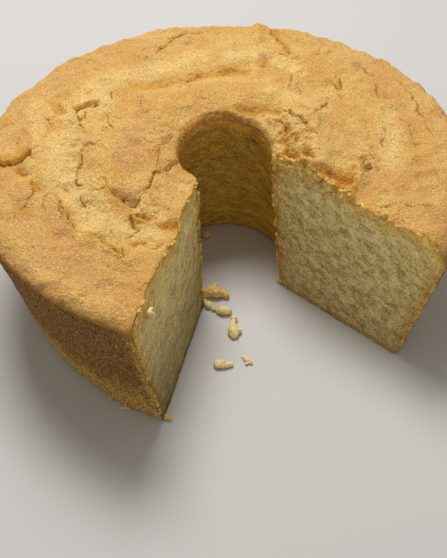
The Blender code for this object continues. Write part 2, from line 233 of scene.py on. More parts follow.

# --- Patches of crust that baked to another colour or broke up, and of painted shade ---

# Each kind of patch is a list of (strength, half width in mm, path), the path
# as (degrees, mm from the hole's axis).
PATCHES = {
    # Moist golden-orange crust in dimples and beside the cracks.
    "gold": (
        (1.0, 1.6, ((152.5, 77.5), (154.3, 83), (158.5, 87.5))),
        (1.1, 2.6, ((186, 118), (186.6, 107), (184.5, 101), (183, 99))),
        (1.4, 2.3, ((190, 103), (191, 102))),
        (1.3, 2.3, ((197.5, 97), (200.3, 96.6))),
        (1.0, 3.0, ((205, 108), (207, 106))),
        (0.9, 2.6, ((157, 101), (161, 93))),
        (1.4, 2.2, ((239.5, 59), (243, 57), (246.5, 54.5))),
        (1.4, 1.7, ((238.8, 79.5), (239, 77), (240.2, 75))),
        (1.3, 1.5, ((244.5, 75), (246, 71))),
        (1.1, 1.6, ((227, 88), (233, 88.5), (238.6, 89.6))),
        (0.7, 1.6, ((206.6, 89), (217.4, 90), (220.6, 91.6))),
        (0.7, 4.5, ((207, 65), (220, 64.5), (231, 63))),
        (0.5, 2.5, ((225, 52), (240, 52))),
        (0.9, 3.6, ((73.5, 87), (73.5, 79))),
        (0.75, 7.0, ((82, 72), (90, 69), (100, 66), (110, 64), (124, 68), (132, 74))),
        (0.8, 3.4, ((67, 95), (69.5, 101), (72, 106), (75, 113), (76, 122))),
        (0.5, 3.0, ((41, 83), (44, 85), (49.5, 85))),
        (0.8, 4.0, ((-31, 67), (-24, 69), (-17, 67))),
        (1.0, 4.5, ((-28, 65), (-22, 62), (-22, 55), (-26, 50))),
        (1.0, 3.6, ((-20, 38), (-15, 36))),
        (1.0, 3.4, ((-14, 44), (-9, 41.5))),
        (0.8, 3.0, ((-2, 31), (6, 30), (14, 30))),
        (1.0, 2.6, ((41, 38.5), (48, 35), (55, 32), (65, 29), (73, 27), (84, 25.5))),
        (0.5, 5.0, ((2, 36), (14, 34), (30, 32))),
    ),
    # Well-baked brown in folds and on ridges.
    "brown": (
        (0.4, 2.0, ((165, 29), (172, 31.5), (180, 33), (190, 35), (206, 36))),
        (0.5, 1.8, ((12, 33.5), (25, 34), (33, 32), (38, 29))),
        (0.3, 1.5, ((46, 35), (55, 31.5), (65, 28.5), (73, 26.5))),
        (0.4, 2.6, ((2, 35), (4, 38), (6, 35))),
        (0.4, 2.0, ((-14, 44), (-9, 41.5))),
        (0.7, 3.0, ((-22, 57), (-27, 55))),
        (0.3, 5.0, ((43, 109), (50, 105), (55, 105))),
        (0.3, 5.0, ((29, 96), (33, 101))),
        (0.3, 4.0, ((132, 60), (138, 61), (142, 58))),
        (0.35, 3.0, ((173, 105.5), (178, 101), (181, 100))),
    ),
    # Painted shade: grey-olive in the deepest splits and hollows.
    "olive_shade": (
        (0.5, 1.2, ((189, 73), (199, 77.8), (202, 76))),
        (0.4, 1.4, ((205, 62.5), (209, 60.5))),
        (0.8, 3.0, ((213, 59.5), (219, 57.5))),
        (0.7, 1.8, ((248, 68.5), (249, 68.5))),
        (0.9, 1.5, ((-14, 72.5), (-10, 73.8))),
        (0.6, 2.0, ((-13, 70), (-6, 71))),
        (0.7, 2.0, ((101.5, 59), (102.5, 59))),
        (0.5, 1.6, ((107.5, 63), (108.5, 63))),
        (0.3, 1.4, ((207, 32), (203, 28.5), (198, 24.5))),
        (0.4, 1.4, ((-34.5, 65), (-33, 65))),
    ),
    # Pinkish-tan plates that rose early.
    "rosy": (
        (0.7, 9.0, ((152, 52), (165, 48), (180, 50), (195, 50))),
        (0.6, 5.0, ((173, 105.5), (178, 102))),
        (0.7, 6.0, ((212, 98), (222, 100), (232, 101))),
        (0.6, 10.0, ((200, 108), (220, 112), (240, 112))),
        (0.6, 6.0, ((-30, 75), (-20, 78), (-10, 84))),
        (0.5, 9.0, ((10, 95), (30, 105), (50, 112))),
        (0.5, 8.0, ((95, 105), (125, 108), (150, 112))),
        (0.5, 6.0, ((120, 88), (140, 92))),
    ),
    # Smooth cream-yellow crust that rose late.
    "cream": (
        (1.0, 9.0, ((148, 88), (150, 78), (160, 92))),
        (1.0, 8.0, ((176, 86), (190, 82), (202, 82))),
        (1.0, 7.0, ((205, 84), (214, 80), (222, 86))),
        (0.9, 6.0, ((226, 74), (234, 70), (240, 66))),
        (0.8, 9.0, ((100, 84), (115, 82), (130, 84), (142, 90))),
        (0.8, 7.0, ((60, 82), (75, 90), (88, 84))),
        (0.7, 7.0, ((-8, 84), (6, 88), (20, 92))),
        (0.6, 6.0, ((158, 112), (170, 100), (180, 96))),
        (0.6, 7.0, ((30, 60), (45, 52), (60, 50))),
    ),
    # Crumbly, pale crust that broke late and baked least.
    "broken": (
        (1.3, 5.0, ((221, 56.5), (232, 56))),
        (0.7, 6.0, ((190, 84), (203, 82), (218, 76))),
        (0.7, 5.0, ((198, 69), (212, 70), (224, 72))),
        (1.7, 6.5, ((-25, 31), (-8, 33), (8, 30))),
        (1.5, 5.5, ((-20, 44), (-5, 42), (10, 40))),
        (1.4, 5.0, ((8, 33), (24, 32), (38, 30))),
        (1.1, 5.0, ((10, 42), (24, 40), (36, 36))),
        (1.2, 3.5, ((-33, 66), (-24, 69), (-16, 68))),
        (0.6, 7.0, ((165, 84), (180, 82), (192, 86))),
        (0.5, 6.0, ((150, 74), (164, 73))),
        (0.7, 7.5, ((80, 72), (95, 67), (112, 65), (126, 68))),
        (0.5, 5.0, ((228, 80), (240, 78), (250, 72))),
        (0.5, 4.0, ((222, 33), (238, 28), (252, 30))),
        (0.5, 4.0, ((-14, 72), (-6, 73), (4, 70))),
        (0.5, 5.0, ((52, 62), (58, 72))),
        (1.6, 3.2, ((226.5, 60), (231.5, 61.5))),
    ),
}

# --- Loose pieces in the gap and along the edges ---

# Each crumb is a string of lumps: (x, y, radius, height of the middle) in mm.
PALE_CRUMBS = {
    "strand": (
        (-11.5, -33.5, 1.7, 1.5), (-9, -35.8, 2.0, 1.6), (-6.4, -38, 1.5, 1.3),
        (-3.6, -39.8, 1.6, 1.4), (-1.2, -40.3, 2.5, 2.1), (1.4, -40.8, 2.2, 1.8),
    ),
    "club": (
        (5, -45.6, 1.7, 1.5), (4.6, -48.5, 1.7, 1.5), (4.4, -51.5, 1.9, 1.6),
        (4.4, -55, 2.9, 2.2), (4.9, -57, 2.1, 1.7), (7.3, -54.4, 1.7, 1.4),
    ),
    "flat_one": (
        (-3.6, -77.2, 2.3, 1.7), (-1.6, -77.2, 2.2, 1.6), (0.8, -77.6, 1.6, 1.3),
        (3.0, -76.8, 1.5, 1.2),
    ),
    "scrap": (
        (9.4, -71.4, 0.9, 0.8), (10.4, -72.8, 1.1, 0.8), (11.9, -74.0, 1.4, 1.0),
        (13.6, -75.6, 1.0, 0.8), (11.4, -76.0, 0.8, 0.7),
    ),
    "clump_on_cut": (
        (-32.2, -106.8, 1.1, 79.0), (-32.6, -108.4, 1.4, 78.5), (-32.6, -108.8, 1.2, 75.6),
        (-32.2, -107.3, 1.5, 76.0), (-32.1, -107.0, 1.3, 74.6), (-32.0, -106.6, 1.1, 73.3),
    ),
}
CRUST_CRUMBS = {
    "base_scrap": (
        (-49.6, -101.8, 1.4, 1.2), (-50.0, -103.8, 1.2, 1.0), (-48.2, -104.6, 0.9, 0.8),
        (-52.0, -104.2, 0.9, 0.8),
    ),
    "base_bits": (
        (-57.8, -98.2, 1.2, 1.0), (-45.4, -103.6, 1.1, 1.0), (-29.6, -109.6, 1.6, 1.3),
        (-27.6, -110.4, 1.2, 1.0), (-32.4, -109.4, 1.2, 1.0),
    ),
    "hole_bit": ((31.4, -16.8, 1.6, 1.4), (32.6, -15.4, 1.2, 1.0)),
    "flap": (
        (-11.5, -27.5, 2.9, 2.6), (-8.5, -27.0, 3.4, 3.2), (-5.2, -27.2, 3.3, 3.4),
        (-2.0, -27.8, 2.4, 2.6), (0.4, -28.4, 2.0, 2.0), (-5.5, -24.8, 1.8, 5.0),
    ),
    "pebble": ((-12.4, 20.6, 1.9, 1.8), (-10.6, 20.2, 2.2, 2.0)),
}
CRUMB_GRAIN = 0.3 * MM        # finest detail of a crumb's mesh
CRUMB_SEEDS = {"loose_crumbs": 71, "loose_crust_scraps": 81, "edge_crumbs": 95}

# Clusters of crumbs on the outer side, the top and the hole's side of each cut.
EDGE_SHARES = ((12, 8, 5), (9, 7, 18))
EDGE_SEED = 91
EDGE_MARGIN = 6               # rows without a cluster at each corner of a cut
CLUSTER_ROWS = 5              # rows over which a cluster spreads, each way
CLUSTER_CRUMBS = (2, 7)       # least number of crumbs in a cluster, and one past the most
LARGEST_CRUMB = (0.5, 1.5)    # range of the radius (mm) of a cluster's largest crumb
SMALLEST_CRUMB = 0.45         # radius (mm)

# --- The fine grid: columns run round the cake, rows round its section ---

COLUMNS = 700
WALL_ROWS = 108
FOOT_ROWS = 3
SHOULDER_ROWS = 14
CRUST_ROWS = 190
LIP_ROWS = 10
BASE_ROWS = SHOULDER_ROWS + CRUST_ROWS + LIP_ROWS
SIDE_ROWS = FOOT_ROWS + WALL_ROWS
CUT_PASSES = 3                # rounds in which the end columns settle onto the cuts

# --- Settings ---


def length(name, description, default):
    """A size that a user would change."""
    return FloatProperty(name=name, description=description, default=default, unit="LENGTH")


def tint(name, description, *default):
    """A colour that a user would change, in linear light."""
    return FloatVectorProperty(name=name, description=description, default=default, subtype="COLOR")


class CakeSizes(bpy.types.PropertyGroup):
    """Driving sizes of the cake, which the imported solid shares."""

    rim_radius: length("Rim radius", "Radius of the outer wall at the rim", 0.127)
    base_radius: length("Base radius", "Radius of the outer wall at the base", 0.1114)
    rim_height: length("Rim height", "Height of the rim above the base", 0.081)
    tube_top_radius: length("Hole radius, top", "Radius of the hole at its top", 0.0225)
    tube_base_radius: length("Hole radius, base", "Radius of the hole at the base", 0.0337)
    tube_height: length("Hole height", "Height over which the hole narrows", 0.09)
    foot_radius: length("Foot radius", "Rounding between walls and base", 0.002)
    axis_y: length("Axis offset", "Place of the hole's axis along Y", -0.0026)
    triangles: IntProperty(name="Triangles", description="Triangles that the cake keeps", default=190000)


class CakeColours(bpy.types.PropertyGroup):
    """Colours of the crust, the crumb and the floor, in linear light."""

    pale: tint("Pale crust", "Least baked crust", 0.78, 0.51, 0.175)
    # also painted highlight on the high spots of the crust's fine grain
    bright: tint("Bright crust", "Yellow high spots", 0.89, 0.64, 0.255)
    tan: tint("Tan crust", "Evenly baked crust", 0.705, 0.388, 0.118)
    rosy: tint("Rosy crust", "Pinkish patches of crust", 0.68, 0.36, 0.148)
    gold: tint("Golden hollows", "Moist crust in the cracks", 0.66, 0.32, 0.042)
    brown: tint("Brown folds", "Well-baked folds", 0.36, 0.15, 0.035)
    # painted shade of the deepest splits and hollows
    olive_shade: tint("Olive splits", "Deepest splits", 0.30, 0.21, 0.08)
    wall: tint("Pan-side crust", "Crust that lay against the pan", 0.27, 0.118, 0.027)
    wall_pale: tint("Pale pan side", "Lighter patches low on the walls", 0.70, 0.43, 0.10)
    rim: tint("Rim", "Crust that turns over the rim of the pan", 0.54, 0.25, 0.055)
    tube: tint("Tube side", "Crust that lay against the pan's tube", 0.75, 0.470, 0.064)
    tube_brown: tint("Browner tube side", "Darker parts of the hole's wall", 0.73, 0.415, 0.054)
    crumb: tint("Crumb", "Open crumb of the cut faces", 0.74, 0.56, 0.21)
    under: tint("Under the crust", "Golden crumb just under the crust", 0.80, 0.52, 0.14)
    crumb_pale: tint("Pale crumb", "Lighter clumps of crumb", 0.97, 0.80, 0.40)
    fleck: tint("Crumb flecks", "Brightest torn flecks of crumb", 1.0, 0.88, 0.52)
    # painted shade in the crumb's pores and in the gaps between its clumps
    crumb_deep: tint("Deep crumb", "Pores of the crumb", 0.36, 0.26, 0.080)
    split: tint("Splits", "Shaded floor of the narrow cracks", 0.23, 0.115, 0.024)
    floor: tint("Floor", "Plain pale floor", 0.62, 0.61, 0.59)


class StudioSizes(bpy.types.PropertyGroup):
    """Camera and lights."""

    lens: FloatProperty(name="Lens", description="Focal length", default=55.1, unit="CAMERA")
    camera_back: length("Camera distance", "How far the camera stands in front of the cake", 0.3503)
    camera_height: length("Camera height", "How far the camera stands above the base", 0.3575)
    camera_side: length("Camera offset", "How far right of the hole's axis it stands", -0.0008)
    camera_pitch: FloatProperty(
        name="Camera pitch",
        description="How far the camera looks down",
        default=math.radians(46.8),
        subtype="ANGLE",
    )
    key_power: FloatProperty(
        name="Key light", description="Power of the key light", default=10.2, unit="POWER"
    )
    sky: FloatProperty(name="Fill", description="Strength of the even light from all round", default=0.35)


# --- Numbers that vary over the cake ---


def smooth_through(places, knots, values):
    """Values of a smooth curve through the knots, one row of values per knot."""
    knots = np.asarray(knots, float)
    values = np.asarray(values, float)
    slopes = np.gradient(values, knots, axis=0)
    left = np.clip(np.searchsorted(knots, places) - 1, 0, len(knots) - 2)
    span = (knots[left + 1] - knots[left])[..., None]
    t = np.clip((places - knots[left])[..., None] / span, 0, 1)
    rise = t * t * (3 - 2 * t)
    curve = values[left] * (1 - rise) + values[left + 1] * rise
    curve += span * t * (1 - t) * ((1 - t) * slopes[left] - t * slopes[left + 1])
    return curve


def smooth_step(value, low, high):
    """0 below `low`, 1 above `high`, and a soft step between them."""
    t = np.clip((value - low) / (high - low), 0, 1)
    return t * t * (3 - 2 * t)


def bell(distance, width, power=2):
    """1 at no distance, falling off softly past `width`."""
    return np.exp(-(distance / width) ** power)


def lumps(x, y, z, size, seed, cells=16):
    """Smooth random bumps between -1 and 1, about `size` across."""
    lattice = np.random.default_rng(seed).uniform(-1, 1, (cells, cells, cells))
    total = 0
    place = np.stack(np.broadcast_arrays(x, y, z)) / size + cells
    corner = np.floor(place).astype(int)
    t = place - corner
    t = t * t * (3 - 2 * t)
    for i in (0, 1):
        for j in (0, 1):
            for k in (0, 1):
                weight = (np.abs(1 - i - t[0]) * np.abs(1 - j - t[1]) * np.abs(1 - k - t[2]))
                cell = (corner + np.array([i, j, k]).reshape(3, *[1] * (t.ndim - 1))) % cells
                total = total + weight * lattice[cell[0], cell[1], cell[2]]
    return total


def plan_lumps(x, y, size, seed, cells=16):
    """`lumps` at places in plan."""
    return lumps(x, y, 0 * x, size, seed, cells)


def nearest(u, v, spacing, seed, cells=64):
    """Distance to the nearest of scattered points on a surface, and that point's draw."""
    draw = np.random.default_rng(seed)
    jitter = draw.uniform(0.1, 0.9, (cells, cells, 2))
    draws = draw.uniform(0, 1, (cells, cells))
    place = np.stack(np.broadcast_arrays(u, v), axis=-1) / spacing
    home = np.floor(place).astype(int)
    distance = np.full(place.shape[:-1], np.inf)
    drawn = np.zeros(place.shape[:-1])
    for offset in np.ndindex(3, 3):
        cell = home + np.array(offset) - 1
        wrapped = (cell[..., 0] % cells, cell[..., 1] % cells)
        gap = np.hypot(*np.moveaxis(place - cell - jitter[wrapped], -1, 0)) * spacing
        closer = gap < distance
        distance = np.where(closer, gap, distance)
        drawn = np.where(closer, draws[wrapped], drawn)
    return distance, drawn


def pits(u, v, spacing, size, seed, share):
    """Round pits from 0 to 1 deep, at some of the scattered points."""
    distance, drawn = nearest(u, v, spacing, seed)
    radius = size * (0.6 + 0.4 * drawn / share)
    return (drawn < share) * bell(distance, radius)


def clods(u, v, spacing, seed):
    """Rounded clods, like crumbs pressed together: 1 at their tops, 0 between them."""
    distance, drawn = nearest(u, v, spacing, seed)
    return np.sqrt(np.clip(1 - (distance / (0.8 * spacing)) ** 2, 0, 1)) * (0.5 + 0.5 * drawn)


def path_points(path):
    """A path given as (degrees, mm from the axis), in metres."""
    turn = np.radians([degrees for degrees, _ in path])
    reach = np.array([radius * MM for _, radius in path])
    return np.stack([reach * np.cos(turn), reach * np.sin(turn)], axis=1)


def path_distance(x, y, path):
    """Distance in plan from a path, and which side: +1 left of it, -1 right."""
    points = path_points(path)
    closest = np.full(x.shape, np.inf)
    side = np.ones(x.shape)
    for start, end in zip(points[:-1], points[1:]):
        run = end - start
        share = ((x - start[0]) * run[0] + (y - start[1]) * run[1]) / (run @ run)
        share = np.clip(share, 0, 1)
        off_x = x - start[0] - share * run[0]
        off_y = y - start[1] - share * run[1]
        distance = np.hypot(off_x, off_y)
        closer = distance < closest
        closest = np.where(closer, distance, closest)
        side = np.where(closer, np.sign(run[0] * off_y - run[1] * off_x), side)
    return closest, side


def near_path(x, y, path, reach):
    """Which of the places are within `reach` of the path's box."""
    points = path_points(path)
    low = points.min(axis=0) - reach
    high = points.max(axis=0) + reach
    return np.flatnonzero((x > low[0]) & (x < high[0]) & (y > low[1]) & (y < high[1]))


def stray(x, y, size, reach, seed):
    """Places moved a little at random, so that what follows them wanders."""
    moved_x = x + reach * plan_lumps(x, y, size, seed)
    return moved_x, y + reach * plan_lumps(moved_x, y, size, seed + 1)


def patch(kind, x, y):
    """How strongly the crust belongs to one kind of patch, from 0 to 1."""
    x, y = stray(x, y, 6 * MM, 2.0 * MM, LUMP_SEED + 21)
    amount = np.zeros(len(x))
    for strength, half_width, path in PATCHES[kind]:
        near = near_path(x, y, path, STROKE_REACH * half_width * MM)
        distance, _ = path_distance(x[near], y[near], path)
        amount[near] = np.maximum(amount[near], strength * bell(distance, half_width * MM))
    return amount


def split_shape(distance, half_width):
    """Cross-section of a crack: a narrow split, in crust that sags towards it a little."""
    narrow = bell(distance, max(0.5 * half_width, CRACK_WIDTH), 1.6)
    sag = bell(distance, 1.5 * half_width)
    lips = bell(distance - 1.7 * half_width, 0.9 * half_width)
    return 0.32 * narrow + 0.3 * sag - 0.22 * lips


def crust_marks(x, y):
    """Relief of the crust at places in plan, and what the shader needs to know there:
    how strong the nearest crack is, how far away on which side, and how deep the
    place lies between the crumbs of a broken patch."""
    lift = LUMP_HEIGHT * plan_lumps(x, y, LUMP_SIZE, LUMP_SEED)
    lift += CREASE_HEIGHT * (0.35 - np.abs(plan_lumps(x, y, CREASE_SIZE, LUMP_SEED + 31)))
    broken = patch("broken", x, y)
    crumbly = 0.6 * clods(x, y, 4.0 * MM, 51) + 0.4 * clods(x, y, 2.0 * MM, 52)
    chunks = clods(x, y, 6.5 * MM, 53)
    lift += broken * (2.8 * crumbly - 1.6) * MM
    lift += np.clip(broken - CHUNKY, 0, 1) * (5.5 * chunks - 3.6) * MM
    crumbly = np.where(broken > CHUNKY, 0.5 * crumbly + 0.5 * chunks, crumbly)
    x, y = stray(x, y, STRAY_SIZE, STRAY, LUMP_SEED + 3)
    ragged_x, ragged_y = stray(x, y, 3.2 * MM, 0.9 * MM, LUMP_SEED + 11)
    ragged_x, ragged_y = stray(ragged_x, ragged_y, 1.6 * MM, 0.5 * MM, LUMP_SEED + 13)
    coming = np.clip(0.85 + 0.7 * plan_lumps(x, y, 4 * MM, LUMP_SEED + 15), 0.15, 1.4)
    sunk = np.zeros(len(x))
    gap = np.full(len(x), CRACK_SPAN)
    for rise, half_width, step, path in FOLDS + FINE_CRACKS:
        half = half_width * MM
        if half_width > BROAD_FOLD or rise > 0:
            near = near_path(x, y, path, STROKE_REACH * half)
            distance, _ = path_distance(x[near], y[near], path)
            lift[near] += rise * MM * bell(distance, half)
            continue
        reach = max(STEP_REACH * 3 if step else 0, STROKE_REACH * half, CRACK_SPAN)
        near = near_path(ragged_x, ragged_y, path, reach)
        distance, side = path_distance(ragged_x[near], ragged_y[near], path)
        lift[near] += rise * MM * split_shape(distance, half) * coming[near]
        strength = np.clip(-rise / 4 * coming[near], 0, 1)
        sunk[near] = np.maximum(sunk[near], strength * bell(distance, 0.7 * CRACK_SPAN))
        closer = distance < np.abs(gap[near])
        gap[near[closer]] = (side * distance)[closer]
        if step:
            raised = smooth_step(side * np.sign(step) * distance, 0, 0.8 * MM)
            lift[near] += raised * abs(step) * MM * bell(distance, STEP_REACH, 1.5)
    return lift, {"sunk": sunk, "gap": gap / CRACK_SPAN, "deep": broken * (1 - crumbly)}


def relief(angle, radius):
    """How far folds, cracks, crumbly patches and lumps lift or sink the crust."""
    shape = np.broadcast(angle, radius).shape
    x = np.broadcast_to(radius * np.cos(angle), shape).ravel()
    y = np.broadcast_to(radius * np.sin(angle), shape).ravel()
    return crust_marks(x, y)[0].reshape(shape)


def crown(angle, radius):
    """Height of the crust above the base."""
    stations = sorted(CROWN_HEIGHTS)
    heights = [CROWN_HEIGHTS[station] for station in stations]
    on_rings = smooth_through(np.degrees(angle), stations, heights)
    share = smooth_through(radius / MM, RING_RADII, np.eye(len(RING_RADII)))
    return (on_rings * share).sum(axis=-1) * MM + relief(angle, radius)


def round_the_cake(sizes, angle, index):
    """One of the sizes (mm) that are given at stations round the cake, in metres."""
    stations = sorted(sizes)
    values = [[sizes[station][index]] for station in stations]
    return smooth_through(np.degrees(angle), stations, values)[..., 0] * MM


def cut_angle(cut, radius, height):
    """Angle at which a knife cut meets a given radius and height."""
    direction, offset, lean = cut
    return math.radians(direction) + np.arcsin((offset + lean * height) / radius)


class Ring:
    """The cake's section, from its sizes. Each block of the outline takes t,
    from 0 at its start to 1 at the next one's, anticlockwise from the base's
    inner edge."""

    def __init__(self, sizes):
        self.sizes = sizes
        self.blocks = (
            (BASE_ROWS, self.base),
            (FOOT_ROWS, self.outer_foot),
            (WALL_ROWS, self.outer_wall),
            (SHOULDER_ROWS, self.shoulder),
            (CRUST_ROWS, self.crust),
            (LIP_ROWS, self.lip),
            (WALL_ROWS, self.tube_wall),
            (FOOT_ROWS, self.inner_foot),
        )
        self.rows = sum(rows for rows, _ in self.blocks)

    def crust_edge(self, angle):
        """Radius at which the crust gives way to the shoulder."""
        return self.sizes.rim_radius + round_the_cake(SWELL, angle, 0) - round_the_cake(SWELL, angle, 2)

    def lip_edge(self, angle):
        """Radius at which the crust gives way to the lip."""
        hanging = round_the_cake(LIP, angle, 2)
        return self.sizes.tube_top_radius - hanging + round_the_cake(LIP, angle, 0)

    def wobble(self, angle, height, seed):
        """Slow unevenness of a wall, which dies out at the flat base."""
        x = self.sizes.rim_radius * np.cos(angle)
        y = self.sizes.rim_radius * np.sin(angle)
        fade = np.clip(height / WOBBLE_SIZE, 0, 1)
        return WALL_WOBBLE * fade * lumps(x, y, height, WOBBLE_SIZE, seed)

    def outer_radius(self, angle, height):
        """Radius of the flared outer wall."""
        rim = self.sizes.rim_radius + round_the_cake(SWELL, angle, 0)
        foot = self.sizes.base_radius + round_the_cake(SWELL, angle, 1)
        flare = (rim - foot) / self.sizes.rim_height
        return foot + flare * height + self.wobble(angle, height, LUMP_SEED + 1)

    def tube_radius(self, angle, height, lip_foot):
        """Radius of the hole that the pan's tube left."""
        taper = (self.sizes.tube_top_radius - self.sizes.tube_base_radius) / self.sizes.tube_height
        near_top = np.clip(1 - (lip_foot - height) / OVERHANG_DROP, 0, 1)
        hanging = round_the_cake(LIP, angle, 2) * near_top ** 2
        straight = self.sizes.tube_base_radius + taper * height
        return straight - hanging - self.wobble(angle, height, LUMP_SEED + 2)

    def base(self, t, angle, shoulder_foot, lip_foot):
        inner = self.tube_radius(angle, 0 * angle, lip_foot) + self.sizes.foot_radius
        outer = self.outer_radius(angle, 0 * angle) - self.sizes.foot_radius
        return inner + (outer - inner) * t, 0 * t * angle

    def outer_foot(self, t, angle, shoulder_foot, lip_foot):
        height = self.sizes.foot_radius * (1 - np.cos(t * math.pi / 2)) + 0 * angle
        inset = self.sizes.foot_radius * (1 - np.sin(t * math.pi / 2))
        return self.outer_radius(angle, height) - inset, height

    def outer_wall(self, t, angle, shoulder_foot, lip_foot):
        foot = self.sizes.foot_radius
        height = foot + (shoulder_foot - foot) * t
        return self.outer_radius(angle, height), height

    def shoulder(self, t, angle, shoulder_foot, lip_foot):
        top = self.crust_edge(angle)
        radius = top + (self.outer_radius(angle, shoulder_foot) - top) * np.cos(t * math.pi / 2)
        return radius, shoulder_foot + (crown(angle, radius) - shoulder_foot) * np.sin(t * math.pi / 2)

    def crust(self, t, angle, shoulder_foot, lip_foot):
        edge = self.crust_edge(angle)
        radius = edge + (self.lip_edge(angle) - edge) * t
        return radius, crown(angle, radius)

    def lip(self, t, angle, shoulder_foot, lip_foot):
        bottom = self.tube_radius(angle, lip_foot, lip_foot)
        top = self.lip_edge(angle)
        radius = bottom + (top - bottom) * (1 - np.sin(t * math.pi / 2))
        return radius, lip_foot + (crown(angle, radius) - lip_foot) * np.cos(t * math.pi / 2)

    def tube_wall(self, t, angle, shoulder_foot, lip_foot):
        foot = self.sizes.foot_radius
        height = lip_foot + (foot - lip_foot) * t
        return self.tube_radius(angle, height, lip_foot), height

    def inner_foot(self, t, angle, shoulder_foot, lip_foot):
        height = self.sizes.foot_radius * (1 - np.sin(t * math.pi / 2)) + 0 * angle
        inset = self.sizes.foot_radius * (1 - np.cos(t * math.pi / 2))
        return self.tube_radius(angle, height, lip_foot) + inset, height

    def section(self, angle):
        """Radius and height of every point, from its row and its own angle."""
        shoulder_foot = crown(angle, self.crust_edge(angle)) - round_the_cake(SWELL, angle, 2)
        lip_foot = crown(angle, self.lip_edge(angle)) - round_the_cake(LIP, angle, 1)
        outlines = []
        first = 0
        for rows, block in self.blocks:
            t = np.arange(rows)[:, None] / rows
            part = slice(first, first + rows)
            outlines.append(block(t, angle[part], shoulder_foot[part], lip_foot[part]))
            first += rows
        return np.vstack([r for r, _ in outlines]), np.vstack([z for _, z in outlines])

    def cut_edge(self, cut):
        """Points of the outline of one cut face, one for each row of the section."""
        angle = np.full((self.rows, 1), math.radians(cut[0]))
        for _ in range(CUT_PASSES):
            radius, height = self.section(angle)
            angle = cut_angle(cut, radius, height)
        places = np.hstack([radius * np.cos(angle), radius * np.sin(angle), height])
        return places + np.array([0, self.sizes.axis_y, 0])

    def grid(self):
        """Angle, radius and height of the sweep: rows of the section by columns."""
        share = np.linspace(0, 1, COLUMNS)[None, :]
        angle = np.radians(RIGHT_CUT[0] + (LEFT_CUT[0] - RIGHT_CUT[0]) * share)
        angle = np.repeat(angle, self.rows, axis=0)
        for _ in range(CUT_PASSES):
            radius, height = self.section(angle)
            right = cut_angle(RIGHT_CUT, radius, height)
            left = cut_angle(LEFT_CUT, radius, height)
            angle = right + (left - right) * share
        return angle, radius, height


# --- The cake's mesh ---

CRUMB_REACH = 3.0 * MM        # how far the cut's roughness shows on the skin beside it
KNIFE_SLOPE = 0.39            # fall of the knife's strokes, outwards
CUT_ROUGHNESS = (1.3, 0.85)   # of the right and of the left cut
CHUNK_SIZE = 5.5 * MM         # of the chunks that broke along the right cut's top


def block_mask(ring, names):
    """1 on the rows that belong to the named blocks, 0 on the others, as a column."""
    mask = [[float(block.__name__ in names)] * rows for rows, block in ring.blocks]
    return np.concatenate(mask)[:, None]


def grid_normals(points):
    """Outward normals of the sweep, from each point's neighbours."""
    along_row = np.gradient(points, axis=1)
    up_section = np.roll(points, -1, axis=0) - np.roll(points, 1, axis=0)
    normals = np.cross(along_row, up_section)
    return normals / np.linalg.norm(normals, axis=-1, keepdims=True)


def skin_relief(ring, points, angle, beside_cut):
    """How far the baked skin stands proud of the smooth form, along its normals.
    The amounts below are in mm."""
    x, y, z = np.moveaxis(points, -1, 0)
    on_crust = block_mask(ring, ("shoulder", "crust", "lip"))
    on_wall = block_mask(ring, ("outer_wall",))
    in_hole = block_mask(ring, ("tube_wall",))
    round_wall = angle * ring.sizes.rim_radius
    round_hole = angle * ring.sizes.tube_base_radius
    fine = lumps(x, y, z, 1.4 * MM, 30, 48)
    rise = on_crust * (0.42 * lumps(x, y, z, 6 * MM, 31) + 0.34 * lumps(x, y, z, 2.6 * MM, 32, 32))
    rise += on_crust * (0.26 * fine - 0.8 * pits(x, y, 4.4 * MM, 0.75 * MM, 33, 0.4))
    rise += on_wall * (0.30 * lumps(x, y, z, 4 * MM, 34) + 0.22 * lumps(x, y, z, 1.8 * MM, 29, 48))
    rise -= on_wall * 0.9 * pits(round_wall, z, 3.4 * MM, 0.9 * MM, 35, 0.55)
    rise -= on_wall * 1.6 * pits(round_wall, z, 13 * MM, 1.6 * MM, 27, 0.5)
    crumbly_foot = smooth_step(z, 8 * MM, 3 * MM) * on_wall
    rise += crumbly_foot * (0.9 * clods(round_wall, z, 3.0 * MM, 26) - 0.5)
    wrinkle = lumps(round_hole / (6 * MM), 0 * x, z / (2.2 * MM), 1, 36, 32)
    rise += in_hole * (0.45 * wrinkle + 0.35 * lumps(x, y, z, 4 * MM, 37) + 0.15 * fine)
    rise -= in_hole * 0.9 * pits(round_hole, z, 4 * MM, 0.9 * MM, 28, 0.4)
    rough = lumps(x, y, z, 3.4 * MM, 38) + 0.6 * lumps(x, y, z, 1.8 * MM, 39, 32)
    torn = 0.6 * clods(x + y, z, 3.6 * MM, 25) + 0.4 * clods(x - y, z, 1.9 * MM, 24) - 0.5
    at_hole = block_mask(ring, ("tube_wall", "inner_foot"))
    rise += (0.7 + 0.7 * at_hole) * rough * np.exp(-beside_cut / (2.8 * MM))
    rise += at_hole * 3.6 * torn * np.exp(-beside_cut / (2.0 * MM))
    return rise * MM * smooth_step(z, 0, 3 * MM)


